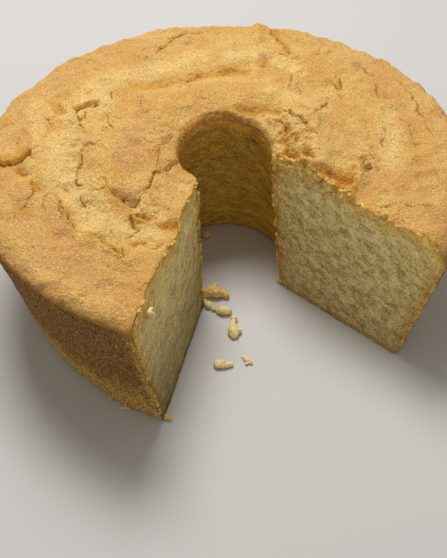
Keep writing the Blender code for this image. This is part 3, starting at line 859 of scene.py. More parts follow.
def crumb_relief(across, up, side, inside, below):
    """How far the crumb of a cut face sinks below the knife's plane, and the part
    of it, from 0 to 1, that lies deep between the crumbs. `side` is 0 on the right
    cut and 1 on the left, `inside` is the distance from the face's outline and
    `below` the distance from its top. The amounts below are in mm."""
    drawn = up + KNIFE_SLOPE * across
    along, drawn = stray((0.7 - 0.3 * side) * across, drawn, 3.5 * MM, 0.9 * MM, 61 + side)
    clump = 1 - clods(along, drawn, 3.0 * MM, 43 + side)
    grain = 1 - clods(1.6 * along, drawn, 1.7 * MM, 45 + side)
    streak = lumps(across / 8, drawn, 0 * up + side, 1.6 * MM, 41 + side, 48)
    fine = plan_lumps(across, up, 1.2 * MM, 53 + side, 48)
    torn = smooth_step(plan_lumps(across, up, 7 * MM, 57 + side), 0.2, 0.8)
    rough = 0.70 * clump + 0.45 * grain + 0.25 * streak + 0.18 * fine + 0.7 * torn
    pore = pits(across, up, 3.4 * MM, 0.8 * MM, 47 + side, 0.45)
    deep = np.clip((rough - 0.7 * torn - 0.45) / 1.1 + 0.5 * pore, 0, 1)
    chip = smooth_step(plan_lumps(across, up, 4 * MM, 49 + side), 0.0, 0.7)
    worn = np.exp(-inside / (1.4 * MM)) * (0.3 + 1.6 * chip) * (1 - 0.5 * side)
    loose = bell(below, 15 * MM) * smooth_step(across, 84 * MM, 54 * MM) * (1 - side)
    ragged_u, ragged_v = stray(across, up, 3.0 * MM, 1.1 * MM, 62)
    apart, drawn = nearest(ragged_u, ragged_v, CHUNK_SIZE, 58)
    cleft = smooth_step(apart / CHUNK_SIZE, 0.34, 0.60)
    deep = np.maximum(deep, 0.9 * loose * cleft)
    broken_off = loose * smooth_step(below, 0, 4 * MM) * (2.6 * cleft + 1.4 * drawn)
    return (CUT_ROUGHNESS[side] * (rough + 0.6 * pore) + worn + broken_off) * MM, deep


def four_sides(outline):
    """A cut face's outline as its base, outer side, top and hole side, from the base
    up and from the hole outwards."""
    bottom = outline[:BASE_ROWS + 1]
    outer = outline[BASE_ROWS:BASE_ROWS + SIDE_ROWS + 1]
    top = outline[BASE_ROWS + SIDE_ROWS:2 * BASE_ROWS + SIDE_ROWS + 1][::-1]
    inner = np.roll(outline, -1, axis=0)[::-1][:SIDE_ROWS + 1]
    return bottom, outer, top, inner


def cap_grid(outline):
    """Places that fill the outline of a cut face."""
    bottom, outer, top, inner = four_sides(outline)
    u = np.linspace(0, 1, BASE_ROWS + 1)[:, None, None]
    v = np.linspace(0, 1, SIDE_ROWS + 1)[None, :, None]
    corners = (1 - u) * (1 - v) * bottom[0] + u * (1 - v) * bottom[-1]
    corners = corners + (1 - u) * v * top[0] + u * v * top[-1]
    sides = (1 - v) * bottom[:, None] + v * top[:, None] + (1 - u) * inner[None] + u * outer[None]
    return sides - corners


def cap_indices(rows, column, first_inside):
    """Vertex index of every place of a cap's grid: the sweep's own on its outline."""
    indices = np.zeros((BASE_ROWS + 1, SIDE_ROWS + 1), int)
    inside = (BASE_ROWS - 1) * (SIDE_ROWS - 1)
    indices[1:-1, 1:-1] = first_inside + np.arange(inside).reshape(BASE_ROWS - 1, SIDE_ROWS - 1)
    bottom, outer, top, inner = four_sides(np.arange(rows) * COLUMNS + column)
    indices[:, 0] = bottom
    indices[-1, :] = outer
    indices[:, -1] = top
    indices[0, :] = inner
    return indices


def grid_quads(indices):
    """Four corners of every cell of a grid of vertex indices."""
    corners = [indices[:-1, :-1], indices[1:, :-1], indices[1:, 1:], indices[:-1, 1:]]
    return np.stack(corners, axis=-1).reshape(-1, 4)


def cut_normal(cut, outward):
    """Direction that points out of the cake through one of its cut faces."""
    direction, _, lean = cut
    turn = math.radians(direction)
    normal = np.array([-math.sin(turn), math.cos(turn), -lean])
    return outward * normal / np.linalg.norm(normal)


def skin_numbers(ring, angle, smooth, beside_cut):
    """What the shaders need to know at each point of the baked skin."""
    top = block_mask(ring, ("shoulder", "crust", "lip")) + 0 * angle
    x, y = smooth[..., 0].ravel(), smooth[..., 1].ravel()
    on_top = {kind: patch(kind, x, y) for kind in PATCHES}
    on_top.update(crust_marks(x, y)[1])
    numbers = {name: top * values.reshape(angle.shape) for name, values in on_top.items()}
    numbers["pan"] = 1 - smooth_top(ring, angle)
    numbers["hole"] = block_mask(ring, ("lip", "tube_wall", "inner_foot")) + 0 * angle
    numbers["skin"] = beside_cut
    numbers["left"] = np.zeros(angle.shape)
    return numbers


def cake_surface(ring):
    """Points, faces and per-point numbers of the whole cake."""
    angle, radius, height = ring.grid()
    smooth = np.stack([radius * np.cos(angle), radius * np.sin(angle), height], axis=-1)
    from_cuts = (radius * (angle - angle[:, :1]), radius * (angle[:, -1:] - angle))
    beside_cut = np.minimum(*from_cuts)
    rise = skin_relief(ring, smooth, angle, beside_cut)
    points = smooth + rise[..., None] * grid_normals(smooth)
    numbers = skin_numbers(ring, angle, smooth, beside_cut)
    flat = {name: [values.ravel()] for name, values in numbers.items()}
    faces = [sweep_quads(ring.rows, COLUMNS)]
    caps = []
    on_sweep = ring.rows * COLUMNS
    for side, (cut, outward) in enumerate(CUTS):
        column = side * (COLUMNS - 1)
        cap = cap_grid(points[:, column])
        across = np.hypot(cap[..., 0], cap[..., 1])
        inside = inside_distance(cap)
        below = cap[:, -1:, 2] - cap[..., 2]
        sink, deep = crumb_relief(across, cap[..., 2], side, inside, below)
        sink = sink * smooth_step(cap[..., 2], -1 * MM, 2 * MM)
        indices = cap_indices(ring.rows, column, on_sweep + side * (BASE_ROWS - 1) * (SIDE_ROWS - 1))
        on_outline = indices < on_sweep
        edge = np.zeros(on_sweep)
        edge[indices[on_outline]] = sink[on_outline]
        edge_sink = edge.reshape(ring.rows, COLUMNS)[:, column]
        fade = np.exp(-from_cuts[side] / CRUMB_REACH)[..., None]
        normal = cut_normal(cut, outward)
        points = points - edge_sink[:, None, None] * fade * normal
        cap = cap - sink[..., None] * normal
        caps.append(cap[1:-1, 1:-1].reshape(-1, 3))
        on_cut = {"skin": inside, "deep": deep, "left": side + 0 * inside, "pan": pan_beside(cap)}
        for name in flat:
            flat[name].append(on_cut.get(name, 0 * inside)[1:-1, 1:-1].ravel())
        quads = grid_quads(indices)
        faces.append(quads[:, ::-1] if side else quads)
    places = np.concatenate([points.reshape(-1, 3), *caps]) + np.array([0, ring.sizes.axis_y, 0])
    return places, faces, {name: np.concatenate(parts) for name, parts in flat.items()}


def smooth_top(ring, angle):
    """1 on the free top of the cake and 0 on the sides that lay against the pan."""
    place = np.zeros(ring.rows)
    first = 0
    for rows, block in ring.blocks:
        t = np.arange(rows) / rows
        place[first:first + rows] = {
            "shoulder": smooth_step(t, 0.0, 0.55),
            "crust": 1 + 0 * t,
            "lip": 1 - t,
        }.get(block.__name__, 0 * t)
        first += rows
    start = round_the_cake(LIP, angle, 3) / round_the_cake(LIP, angle, 1)
    in_lip = block_mask(ring, ("lip",))
    lip_top = 1 - smooth_step(1 - place[:, None], start, start + 0.2)
    return np.where(in_lip > 0, lip_top, place[:, None] + 0 * angle)


def pan_beside(cap):
    """1 near the two sides and the base of a cut face, 0 near its top."""
    top = cap[:, -1:, 2]
    return 1 - smooth_step(cap[..., 2] - top, -14 * MM, -3 * MM)


def inside_distance(cap):
    """Distance of every place of a cut face from its outline."""
    across = np.hypot(cap[..., 0], cap[..., 1])
    up = cap[..., 2]
    gaps = (across - across[:1], across[-1:] - across, up - up[:, :1], up[:, -1:] - up)
    return np.maximum(np.minimum.reduce([np.broadcast_to(gap, across.shape) for gap in gaps]), 0)


def sweep_quads(rows, columns):
    """Faces between neighbouring rows and columns, with the last row joined to the first."""
    loop = np.arange(rows * columns).reshape(rows, columns)
    following = np.roll(loop, -1, axis=0)
    return np.stack([loop[:, :-1], loop[:, 1:], following[:, 1:], following[:, :-1]], axis=-1).reshape(-1, 4)


def mesh_from(name, places, faces):
    """Mesh from points and from groups of four-sided faces: the first group takes the
    first material and all the others take the second."""
    mesh = bpy.data.meshes.new(name)
    quads = np.concatenate(faces)
    mesh.vertices.add(len(places))
    mesh.vertices.foreach_set("co", places.astype(np.float32).ravel())
    mesh.loops.add(quads.size)
    mesh.loops.foreach_set("vertex_index", quads.astype(np.int32).ravel())
    mesh.polygons.add(len(quads))
    mesh.polygons.foreach_set("loop_start", np.arange(0, quads.size, 4, dtype=np.int32))
    slots = np.concatenate([np.full(len(part), min(index, 1)) for index, part in enumerate(faces)])
    mesh.polygons.foreach_set("material_index", slots.astype(np.int32))
    mesh.update(calc_edges=True)
    mesh.validate()
    return mesh


def add_piece(name, mesh, slot, *materials):
    """Object for a mesh, which rides on the cake's body."""
    piece = bpy.data.objects.new(name, mesh)
    bpy.context.collection.objects.link(piece)
    for material in materials:
        mesh.materials.append(material)
    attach(piece, "root")
    return piece


def edge_crumbs(ring):
    """Clusters of crumbs that cling to the edges of the two cuts, as in `PALE_CRUMBS`."""
    draw = np.random.default_rng(EDGE_SEED)
    for (cut, outward), shares in zip(CUTS, EDGE_SHARES):
        edge = ring.cut_edge(cut) / MM
        normal = cut_normal(cut, outward)
        first = BASE_ROWS
        for rows, count in zip((SIDE_ROWS, BASE_ROWS, SIDE_ROWS), shares):
            for start in draw.integers(first + EDGE_MARGIN, first + rows - EDGE_MARGIN, count):
                largest = draw.uniform(*LARGEST_CRUMB)
                crumbs = draw.integers(*CLUSTER_CRUMBS)
                for row in start + draw.integers(-CLUSTER_ROWS, CLUSTER_ROWS + 1, crumbs):
                    radius = SMALLEST_CRUMB + (largest - SMALLEST_CRUMB) * draw.uniform(0, 1)
                    inwards = edge.mean(axis=0) - edge[row]
                    inwards = inwards / np.linalg.norm(inwards) - normal * draw.uniform(0.6, 1.4)
                    x, y, z = edge[row] + inwards * radius * draw.uniform(0.4, 0.8)
                    if z > radius:
                        yield ((x, y, radius, z),)
            first += rows


def evaluated_mesh(piece):
    """A new mesh that holds what the piece's modifiers give."""
    depsgraph = bpy.context.evaluated_depsgraph_get()
    return bpy.data.meshes.new_from_object(piece.evaluated_get(depsgraph))


def crumb_mesh(name, strings, fineness):
    """One closed mesh for a group of crumbs, each a string of rough lumps."""
    seed = CRUMB_SEEDS[name]
    draw = np.random.default_rng(seed)
    build = bmesh.new()
    for string in strings:
        for x, y, radius, height in string:
            size = Matrix.Diagonal((*(radius * MM * draw.uniform(0.85, 1.15, 3)), 1))
            place = Matrix.Translation((x * MM, y * MM, height * MM))
            bmesh.ops.create_icosphere(build, subdivisions=fineness, radius=1, matrix=place @ size)
            for _ in range(2 * fineness - 1):
                turn = draw.normal(0, 1, 3)
                turn *= radius * MM * 0.85 / np.linalg.norm(turn)
                aside = (x * MM + turn[0], y * MM + turn[1], height * MM + abs(turn[2]) * 0.8)
                beside = Matrix.Translation(aside)
                bead = Matrix.Scale(radius * MM * draw.uniform(0.25, 0.42), 4)
                bmesh.ops.create_icosphere(build, subdivisions=fineness - 1, radius=1, matrix=beside @ bead)
    mesh = bpy.data.meshes.new(name)
    build.to_mesh(mesh)
    build.free()
    piece = bpy.data.objects.new(name, mesh)
    bpy.context.collection.objects.link(piece)
    remesh = piece.modifiers.new("one_skin", "REMESH")
    remesh.mode = "VOXEL"
    remesh.voxel_size = CRUMB_GRAIN
    skin = evaluated_mesh(piece)
    bpy.data.objects.remove(piece)
    places = np.empty(3 * len(skin.vertices))
    normals = np.empty(3 * len(skin.vertices))
    skin.vertices.foreach_get("co", places)
    skin.vertex_normals.foreach_get("vector", normals)
    places = places.reshape(-1, 3)
    x, y, z = places.T
    rough = 0.26 * lumps(x, y, z, 1.6 * MM, seed, 32) + 0.20 * lumps(x, y, z, 0.9 * MM, seed + 1, 48)
    places += normals.reshape(-1, 3) * rough[:, None] * MM
    places[:, 2] = np.maximum(places[:, 2], 0)
    skin.vertices.foreach_set("co", places.ravel())
    skin.shade_smooth()
    skin.update()
    return skin


def thin_out(piece, triangles):
    """Keep the triangles that the surface needs most."""
    decimate = piece.modifiers.new("thin_out", "DECIMATE")
    decimate.ratio = triangles / (2 * len(piece.data.polygons))
    decimate.use_collapse_triangulate = True
    thinned = evaluated_mesh(piece)
    piece.modifiers.clear()
    piece.data = thinned


# --- Shaders ---

PAINTED_LEFT_SHADE = (0.74, 0.64, 0.50)  # painted shade: how much darker the outer wall is towards its left side
WARM_PAINTED_SHADE = (1.0, 0.87, 0.66)    # painted warm shade: how much darker and warmer the crust is in its small hollows
IN_PLAN = (1, 1, 0)           # takes the height out of a place
MIX_INPUTS = (0, 6, 7)        # a colour mix's share and its two colours
MIX_RESULT = 2
FLOOR_CLOUDS = 0.97           # how much darker the floor is in its faint clouds


class Value:
    """A socket that can be used in sums: an expression on values adds its nodes."""

    def __init__(self, graph, socket):
        self.graph = graph
        self.socket = socket

    def maths(self, operation, *values):
        return self.graph.add("ShaderNodeMath", {"operation": operation}, dict(enumerate(values)))

    def __add__(self, other):
        return self.maths("ADD", self, other)

    def __sub__(self, other):
        return self.maths("SUBTRACT", self, other)

    def __rsub__(self, other):
        return self.maths("SUBTRACT", other, self)

    def __mul__(self, other):
        return self.maths("MULTIPLY", self, other)

    def __truediv__(self, other):
        return self.maths("DIVIDE", self, other)

    def __abs__(self):
        return self.maths("ABSOLUTE", self)

    __radd__ = __add__
    __rmul__ = __mul__

    def largest(self, other):
        return self.maths("MAXIMUM", self, other)

    def step(self, low, high):
        """0 below `low`, 1 above `high`, and a soft step between them."""
        return self.graph.add(
            "ShaderNodeMapRange",
            {"interpolation_type": "SMOOTHSTEP"},
            {"Value": self, "From Min": low, "From Max": high},
        )


class Graph:
    """One material's nodes, and short ways to add to them."""

    def __init__(self, name):
        self.material = bpy.data.materials.new(name)
        self.material.use_nodes = True
        self.tree = self.material.node_tree
        self.shader = self.tree.nodes["Principled BSDF"]
        self.place = self.add("ShaderNodeTexCoord", output="Object")

    def add(self, kind, settings=None, inputs=None, output=0):
        """A new node: its settings first, then the value or link of each socket."""
        node = self.tree.nodes.new(kind)
        for name, setting in (settings or {}).items():
            setattr(node, name, setting)
        for name, value in (inputs or {}).items():
            self.feed(node.inputs[name], value)
        return Value(self, node.outputs[output])

    def feed(self, socket, value):
        """Link a value to a socket, or set the socket to a plain number or colour."""
        if isinstance(value, Value):
            self.tree.links.new(value.socket, socket)
        elif socket.type == "RGBA":
            socket.default_value = (*value, 1) if len(value) == 3 else value
        else:
            socket.default_value = value

    def number(self, name):
        """One of the numbers that the mesh keeps at each point."""
        return self.add("ShaderNodeAttribute", {"attribute_name": name}, output="Fac")

    def vector(self, operation, first, second, output=0):
        return self.add("ShaderNodeVectorMath", {"operation": operation}, {0: first, 1: second}, output)

    def noise(self, size, detail=2, rough=0.5, at=None):
        """Smooth noise around 0.5, with lumps about `size` metres across."""
        inputs = {"Vector": at or self.place, "Scale": 1 / size, "Detail": detail, "Roughness": rough}
        return self.add("ShaderNodeTexNoise", inputs=inputs)

    def cells(self, size, at=None):
        """Distance to the nearest of scattered points, about `size` metres apart."""
        inputs = {"Vector": at or self.place, "Scale": 1 / size}
        return self.add("ShaderNodeTexVoronoi", inputs=inputs)

    def axis(self, name):
        """One coordinate of the place: "X", "Y" or "Z"."""
        return self.add("ShaderNodeSeparateXYZ", inputs={0: self.place}, output=name)

    def reach(self):
        """Distance in plan from the middle of the cake."""
        plan = self.vector("MULTIPLY", self.place, IN_PLAN)
        return self.vector("LENGTH", plan, (0, 0, 0), "Value")

    def mix(self, share, first, second, blend="MIX"):
        """One colour over another."""
        settings = {"data_type": "RGBA", "blend_type": blend}
        inputs = dict(zip(MIX_INPUTS, (share, first, second)))
        return self.add("ShaderNodeMix", settings, inputs, MIX_RESULT)

    def layers(self, colour, *layers):
        """Colours laid over the first, each as (share, colour) or (share, colour, blend)."""
        for share, over, *blend in layers:
            colour = self.mix(share, colour, over, *blend)
        return colour

    def bump(self, height, strength, distance):
        inputs = {"Height": height, "Strength": strength, "Distance": distance}
        return self.add("ShaderNodeBump", inputs=inputs)

    def finish(self, colour, roughness, normal, specular):
        """Wire up the shader."""
        self.feed(self.shader.inputs["Base Color"], colour)
        self.feed(self.shader.inputs["Roughness"], roughness)
        self.feed(self.shader.inputs["Normal"], normal)
        self.shader.inputs["Specular IOR Level"].default_value = specular
        return self.material


def crust_material(colours):
    """Dry golden crust above, and browner crust where it lay against the pan."""
    graph = Graph("baked_crust")
    broad = graph.noise(0.026, 2)
    patchy = graph.noise(0.009, 3, 0.6)
    mottle = graph.noise(0.0028, 3, 0.65)
    grain = graph.noise(0.0009, 3, 0.7)
    sand = graph.cells(0.0011)
    sunk = graph.number("sunk")
    pan = graph.number("pan")
    ragged = 0.5 + mottle
    baked = (broad * 0.45 + patchy * 0.35 + mottle * 0.2).step(0.42, 0.58)
    rosy = graph.number("rosy").largest(graph.reach().step(0.088, 0.116) * 0.35)
    cream = graph.number("cream") * (0.3 + patchy * 1.4)
    colour = graph.layers(
        colours.pale,
        (baked, colours.tan),
        ((rosy * (0.3 + mottle * 1.4)).step(0.1, 0.9), colours.rosy),
        (cream.step(0.12, 0.8) * 0.9, colours.bright),
        (graph.number("broken") * mottle.step(0.30, 0.50), colours.bright),
        # partly painted light: the fine grain turns gold where its bump sinks and bright where it stands up,
        # over the crust's own sandy speckle
        (grain.step(0.48, 0.68) * 0.7, colours.gold),
        (grain.step(0.47, 0.32) * 0.75, colours.bright),
        ((graph.number("gold") * ragged).step(0.1, 0.95) * 0.9, colours.gold),
        # gold where the crumbs of a broken patch lie deep: partly their own golden crumb, partly painted
        # shade
        ((graph.number("deep") * ragged).step(0.30, 0.72) * 0.75, colours.gold),
        # painted warm shade in the crust's small hollows, where the bump sinks
        (mottle.step(0.47, 0.34) * (1 - pan) * 0.8, WARM_PAINTED_SHADE, "MULTIPLY"),
        ((graph.number("brown") * ragged).step(0.1, 0.9), colours.brown),
        # painted shade: grey-olive in the deepest splits and hollows
        ((graph.number("olive_shade") * ragged).step(0.25, 1.0), colours.olive_shade),
    )
    offset = abs(graph.number("gap") + (grain - 0.5) * 0.30 + (mottle - 0.5) * 0.25)
    near_split = (offset / (0.20 + sunk * 0.35)).step(1.2, 0.2) * sunk.step(0.08, 0.5)
    split = (offset / (0.05 + sunk * 0.14)).step(1.2, 0.4) * sunk.step(0.06, 0.25)
    split_colour = graph.mix(sunk.step(0.5, 1.0), colours.brown, colours.split)
    beside_cut = graph.number("skin").step(0.0035, 0.0004) * mottle.step(0.35, 0.60)
    hair = hairlines(graph, patchy) * (1 - pan)
    uneven = (mottle - 0.5) * (0.5 - graph.number("hole") * 0.3)
    spots = graph.cells(0.0042).step(0.18, 0.06) * patchy.step(0.46, 0.60)
    specks = graph.cells(0.0019).step(0.22, 0.08) * mottle.step(0.50, 0.62)
    pores = spots.largest(specks * 0.7)
    colour = graph.layers(
        colour,
        (near_split * 0.6, colours.gold),
        (split * (0.35 + sunk * 0.65), split_colour),
        (beside_cut * 0.8, colours.gold),
        (hair * 0.45, colours.rim),
        ((pan + uneven).step(0.02, 0.5), colours.rim),
        ((pan + uneven).step(0.45, 0.85), wall_colour(graph, colours, patchy, mottle, grain)),
        (pores * 0.5, graph.mix(pan, colours.rim, colours.brown)),
        # partly painted shade: gold between the sand grains and a darker fine grain where the bump sinks,
        # over the crust's own sandy tone
        (sand.step(0.40, 0.75) * 0.4, graph.mix(pan, colours.gold, colours.wall)),
        (1.0, 1.0 - (grain - 0.5) * 0.9, "MULTIPLY"),
    )
    height = mottle * 0.5 - grain * 1.0 - sand * 0.4 - pores * 0.5 - split * 0.8 - hair * 0.3
    return graph.finish(colour, 0.82, graph.bump(height, 1.0, 0.0009), 0.25)


def wall_colour(graph, colours, patchy, mottle, grain):
    """Colour of the crust that lay against the pan: dark under the rim and ochre by the base, partly its own
    baking and partly painted light from below;
    ochre beside the cuts, painted shade on its left side, wrinkled with painted light in the hole, and
    speckled all over."""
    low = graph.axis("Z")
    sideways = graph.axis("X")
    speckle = graph.noise(0.0007, 2, 0.7)
    drift = graph.noise(0.012, 2)
    # Ochre towards the base: partly the crust's own paler baking, partly painted light from below; ochre
    # beside the cuts too
    ochre = low.step(0.046, 0.004) * 0.9 + low.step(0.011, 0.002) * 0.5
    ochre = ochre.largest(graph.number("skin").step(0.008, 0.001) * 0.75)
    ochre = (ochre + (patchy - 0.5) * 1.5 + (mottle - 0.5) * 0.9).step(0.1, 1.0)
    outer = graph.layers(
        colours.wall,
        (ochre, colours.wall_pale),
        (speckle.step(0.52, 0.72) * 0.5, colours.wall_pale),
        # partly painted light: paler still at the very base
        (low.step(0.018, 0.002) * 0.6, colours.pale),
        # painted shade: the outer wall darker towards its left side
        (sideways.step(-0.088, -0.118), PAINTED_LEFT_SHADE, "MULTIPLY"),
        (1.0, 1.0 + (grain - 0.5) * 3.0 + (speckle - 0.5) * 5.0, "MULTIPLY"),
    )
    plan = graph.vector("MULTIPLY", graph.place, IN_PLAN)
    level = graph.add("ShaderNodeCombineXYZ", inputs={"Z": low * 4.2 + sideways * 0.9 + drift * 0.05})
    wrinkle = graph.noise(0.0095, 4, 0.60, graph.vector("ADD", plan, level))
    browner = drift * 0.6 + wrinkle * 0.4 + low.step(0.050, 0.075) * 0.12
    # Painted light on the hole's wall: brighter towards its foot, a little under its top and much more in
    # the band just under the rim; the wrinkle, grain and patchy terms add its own uneven tone.
    painted_light_and_tone = 1.0 + low.step(0.060, 0.018) * 0.10 + low.step(0.055, 0.072) * 0.04
    painted_light_and_tone = painted_light_and_tone + low.step(0.077, 0.086) * 0.70
    painted_light_and_tone = painted_light_and_tone + (wrinkle - 0.5) * 2.2 + (grain - 0.5) * 2.8 + (patchy - 0.5) * 0.5
    tube = graph.layers(
        colours.tube,
        (browner.step(0.44, 0.60), colours.tube_brown),
        (low.step(0.078, 0.086), colours.rim),
        (1.0, painted_light_and_tone, "MULTIPLY"),
    )
    return graph.mix(graph.number("hole"), outer, tube)


def hairlines(graph, patchy):
    """Fine dark cracks that come and go over the crust."""
    inputs = {"Vector": graph.place, "Scale": 260, "Detail": 3}
    warp = graph.add("ShaderNodeTexNoise", inputs=inputs, output="Color")
    bent = graph.vector("ADD", graph.place, graph.vector("MULTIPLY", warp, (0.006, 0.006, 0.006)))
    feature = {"feature": "DISTANCE_TO_EDGE"}
    net = graph.add("ShaderNodeTexVoronoi", feature, {"Vector": bent, "Scale": 60})
    gate = graph.noise(0.014, 2, at=bent).step(0.60, 0.68)
    return net.step(0.030, 0.010) * gate * patchy.step(0.36, 0.50)


def crumb_material(colours):
    """Soft pale crumb of the cut faces, with a thin baked edge all round."""
    graph = Graph("cut_crumb")
    across = graph.reach()
    low = graph.axis("Z")
    left = graph.number("left")
    strokes = {"X": across * (0.5 - left * 0.26), "Y": low + across * KNIFE_SLOPE, "Z": left}
    at = graph.add("ShaderNodeCombineXYZ", inputs=strokes)
    clump = graph.noise(0.0055, 3, 0.6)
    grain = graph.noise(0.0016, 3, 0.65, at)
    fine = graph.noise(0.0009, 3, 0.7)
    beads = graph.cells(0.0022, at)
    ridged = abs(graph.noise(0.0060, 5, 0.68, at) - 0.5)
    deep = graph.number("deep")
    skin = graph.number("skin")
    pan = graph.number("pan")
    crumble = graph.noise(0.0042, 6, 0.74, at)
    # partly painted light: the crumb a little paler where it lies less deep
    pale = (clump * 0.25 + crumble * 0.75 - (deep - 0.35) * 0.12).step(0.46, 0.62)
    pale = pale * (1 - left * 0.5) + left * 0.25
    ragged = 0.4 + clump * 0.7 + grain * 0.5
    under = (skin / (0.0110 * ragged)).step(1.6, 0.1) * (1 - pan * 0.5)
    under = under * (0.3 + low.step(0.001, 0.014) * 0.7)
    sunken = (deep + (grain - 0.5) * 1.0).step(0.45, 1.0)
    gaps = (crumble + (clump - 0.5) * 0.4).step(0.47, 0.34)
    gaps = gaps.largest(ridged.step(0.040, 0.0) * crumble.step(0.62, 0.45) * 0.7)
    flecks = graph.noise(0.0034, 4, 0.7, at).step(0.58, 0.68)
    baked = (skin / (0.0012 + pan * 0.0018) / ragged).step(1.6, 0.3) * clump.step(0.36, 0.54)
    # Painted light: the cut faces lighter towards their tops, the left face darker, more so towards its
    # outer edge, and the right face lighter in its top band
    painted_light = 1.02 + low.step(0.0, 0.085) * (0.50 + left * 0.45) - left * 0.40
    painted_light = painted_light - left * across.step(0.080, 0.115) * 0.16 + low.step(0.058, 0.082) * (1 - left) * 0.22
    # partly painted light: lighter where the fine bump stands up; the grain term on the left face is the
    # crumb's own tone
    painted_light_and_tone = 1.0 + (fine - 0.5) * 1.2 * (2.2 - left * 0.5) + (grain - 0.5) * left * 2.0
    colour = graph.layers(
        colours.crumb,
        (pale, colours.crumb_pale),
        (under * 0.9, colours.under),
        # painted shade in the crumb's deep pores and between its clumps
        (sunken * (0.7 - left * 0.5), colours.crumb_deep),
        (gaps * (0.62 - left * 0.35), colours.crumb_deep),
        (flecks * (0.8 - left * 0.2), colours.fleck),
        (baked * 0.8, graph.mix(pan * 0.6, colours.gold, colours.wall_pale)),
        (1.0, painted_light * painted_light_and_tone, "MULTIPLY"),
    )
    height = crumble * 2.6 + fine * 0.7 - beads * 0.25
    return graph.finish(colour, 0.92, graph.bump(height, 1.0, 0.0014), 0.15)


def scrap_material(name, light, dark):
    """Dry broken cake, lighter on its lumps."""
    graph = Graph(name)
    mottle = graph.noise(0.0030, 3, 0.6)
    grain = graph.noise(0.0011, 3, 0.65)
    colour = graph.mix((mottle * 0.6 + grain * 0.4).step(0.48, 0.66), light, dark)
    colour = graph.mix(graph.cells(0.0014).step(0.30, 0.08) * 0.3, colour, dark)
    return graph.finish(colour, 0.9, graph.bump(grain + mottle * 0.5, 1.0, 0.0008), 0.15)


def floor_material(colours):
    """Plain pale matt floor."""
    graph = Graph("pale_floor")
    cloud = graph.noise(0.4, 2)
    dimmed = [channel * FLOOR_CLOUDS for channel in colours.floor]
    colour = graph.mix(cloud, colours.floor, dimmed)
    return graph.finish(colour, 0.9, graph.bump(graph.noise(0.002, 2), 0.04, 0.0003), 0.2)


# --- Operators ---

FLOOR_HALF = 2.0              # half the side of the square floor
FLOOR_DROP = 0.0002           # how far it lies under the base
KEY_SIZE = 0.45               # side of the square key light
KEY_PLACE = (-0.12, 0.40, 1.03)
KEY_AIM = (0, 0, 0.05)        # the middle of the cake
SKY_COLOUR = (1, 0.96, 0.90, 1)
SENSOR_WIDTH = 36             # of the camera, in mm as Blender counts it


class CAKE_OT_ring(bpy.types.Operator):
    """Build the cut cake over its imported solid"""

    bl_idname = "cake.ring"
    bl_label = "Cake"

    def execute(self, context):
        sizes = context.scene.cake_sizes
        ring = Ring(sizes)
        places, faces, numbers = cake_surface(ring)
        mesh = mesh_from("pound_cake", places, faces)
        for name, values in numbers.items():
            layer = mesh.attributes.new(name, "FLOAT", "POINT")
            layer.data.foreach_set("value", values.astype(np.float32))
        colours = context.scene.cake_colours
        cake = add_piece("pound_cake", mesh, "crust", crust_material(colours), crumb_material(colours))
        thin_out(cake, sizes.triangles)
        cake.data.shade_smooth()
        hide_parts("cake")
        return {"FINISHED"}


class CAKE_OT_crumbs(bpy.types.Operator):
    """Lay the pale crumbs and the broken bits of crust round the cake"""

    bl_idname = "cake.crumbs"
    bl_label = "Crumbs"

    def execute(self, context):
        colours = context.scene.cake_colours
        clinging = edge_crumbs(Ring(context.scene.cake_sizes))
        light, dark = colours.crumb_pale, colours.crumb
        self.lay("loose_crumbs", PALE_CRUMBS.values(), 3, "crumb", "pale_crumb", light, dark)
        light, dark = colours.bright, colours.gold
        self.lay("loose_crust_scraps", CRUST_CRUMBS.values(), 3, "crust", "crust_scrap", light, dark)
        light, dark = colours.under, colours.gold
        self.lay("edge_crumbs", clinging, 2, "crumb", "edge_crumb", light, dark)
        return {"FINISHED"}

    def lay(self, name, strings, fineness, slot, look, light, dark):
        mesh = crumb_mesh(name, strings, fineness)
        add_piece(name, mesh, slot, scrap_material(look, light, dark))


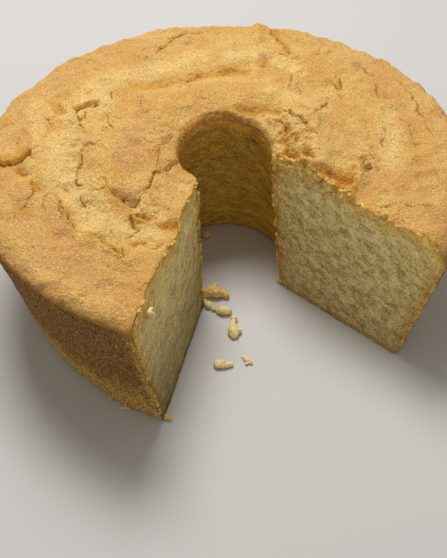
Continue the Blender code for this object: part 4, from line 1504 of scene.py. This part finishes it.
class CAKE_OT_studio(bpy.types.Operator):
    """Set the floor, the lights and the camera"""

    bl_idname = "cake.studio"
    bl_label = "Studio"

    def execute(self, context):
        studio = context.scene.cake_studio
        self.lay_floor(context)
        self.hang_light(context, studio.key_power)
        world = bpy.data.worlds.new("studio")
        world.use_nodes = True
        background = world.node_tree.nodes["Background"]
        background.inputs["Color"].default_value = SKY_COLOUR
        background.inputs["Strength"].default_value = studio.sky
        context.scene.world = world
        context.scene.view_settings.view_transform = "Standard"
        self.set_camera(context, studio)
        return {"FINISHED"}

    def lay_floor(self, context):
        mesh = bpy.data.meshes.new("floor")
        turns = ((-1, -1), (1, -1), (1, 1), (-1, 1))
        corners = [(x * FLOOR_HALF, y * FLOOR_HALF, 0) for x, y in turns]
        mesh.from_pydata(corners, [], [(0, 1, 2, 3)])
        mesh.materials.append(floor_material(context.scene.cake_colours))
        floor = bpy.data.objects.new("floor", mesh)
        context.collection.objects.link(floor)
        floor.location.z = -FLOOR_DROP

    def hang_light(self, context, power):
        lamp = bpy.data.lights.new("key", "AREA")
        lamp.energy = power
        lamp.size = KEY_SIZE
        light = bpy.data.objects.new("key", lamp)
        light.location = KEY_PLACE
        aim = Vector(KEY_AIM) - Vector(KEY_PLACE)
        light.rotation_euler = aim.to_track_quat("-Z", "Y").to_euler()
        context.collection.objects.link(light)

    def set_camera(self, context, studio):
        lens = bpy.data.cameras.new("camera")
        lens.lens = studio.lens
        lens.sensor_width = SENSOR_WIDTH
        camera = bpy.data.objects.new("camera", lens)
        camera.location = (studio.camera_side, -studio.camera_back, studio.camera_height)
        camera.rotation_euler = (math.pi / 2 - studio.camera_pitch, 0, 0)
        context.collection.objects.link(camera)
        context.scene.camera = camera


class CAKE_PT_panel(bpy.types.Panel):
    """Lists the pieces of the cake and of the studio"""

    bl_idname = "CAKE_PT_panel"
    bl_label = "Pound Cake"
    bl_space_type = "VIEW_3D"
    bl_region_type = "UI"
    bl_category = "Pound Cake"

    def draw(self, context):
        for operator in OPERATORS:
            self.layout.operator(operator.bl_idname)
        for group in SETTINGS:
            settings = getattr(context.scene, group)
            for name in settings.__annotations__:
                self.layout.prop(settings, name)


OPERATORS = (CAKE_OT_ring, CAKE_OT_crumbs, CAKE_OT_studio)
SETTINGS = {"cake_sizes": CakeSizes, "cake_colours": CakeColours, "cake_studio": StudioSizes}
CLASSES = (*SETTINGS.values(), *OPERATORS, CAKE_PT_panel)


def register():
    for cls in CLASSES:
        bpy.utils.register_class(cls)
    for name, group in SETTINGS.items():
        setattr(bpy.types.Scene, name, PointerProperty(type=group))


def unregister():
    for name in SETTINGS:
        delattr(bpy.types.Scene, name)
    for cls in reversed(CLASSES):
        bpy.utils.unregister_class(cls)


def main():
    register()
    bpy.ops.cake.ring()
    bpy.ops.cake.crumbs()
    bpy.ops.cake.studio()


if __name__ == "__main__":
    main()
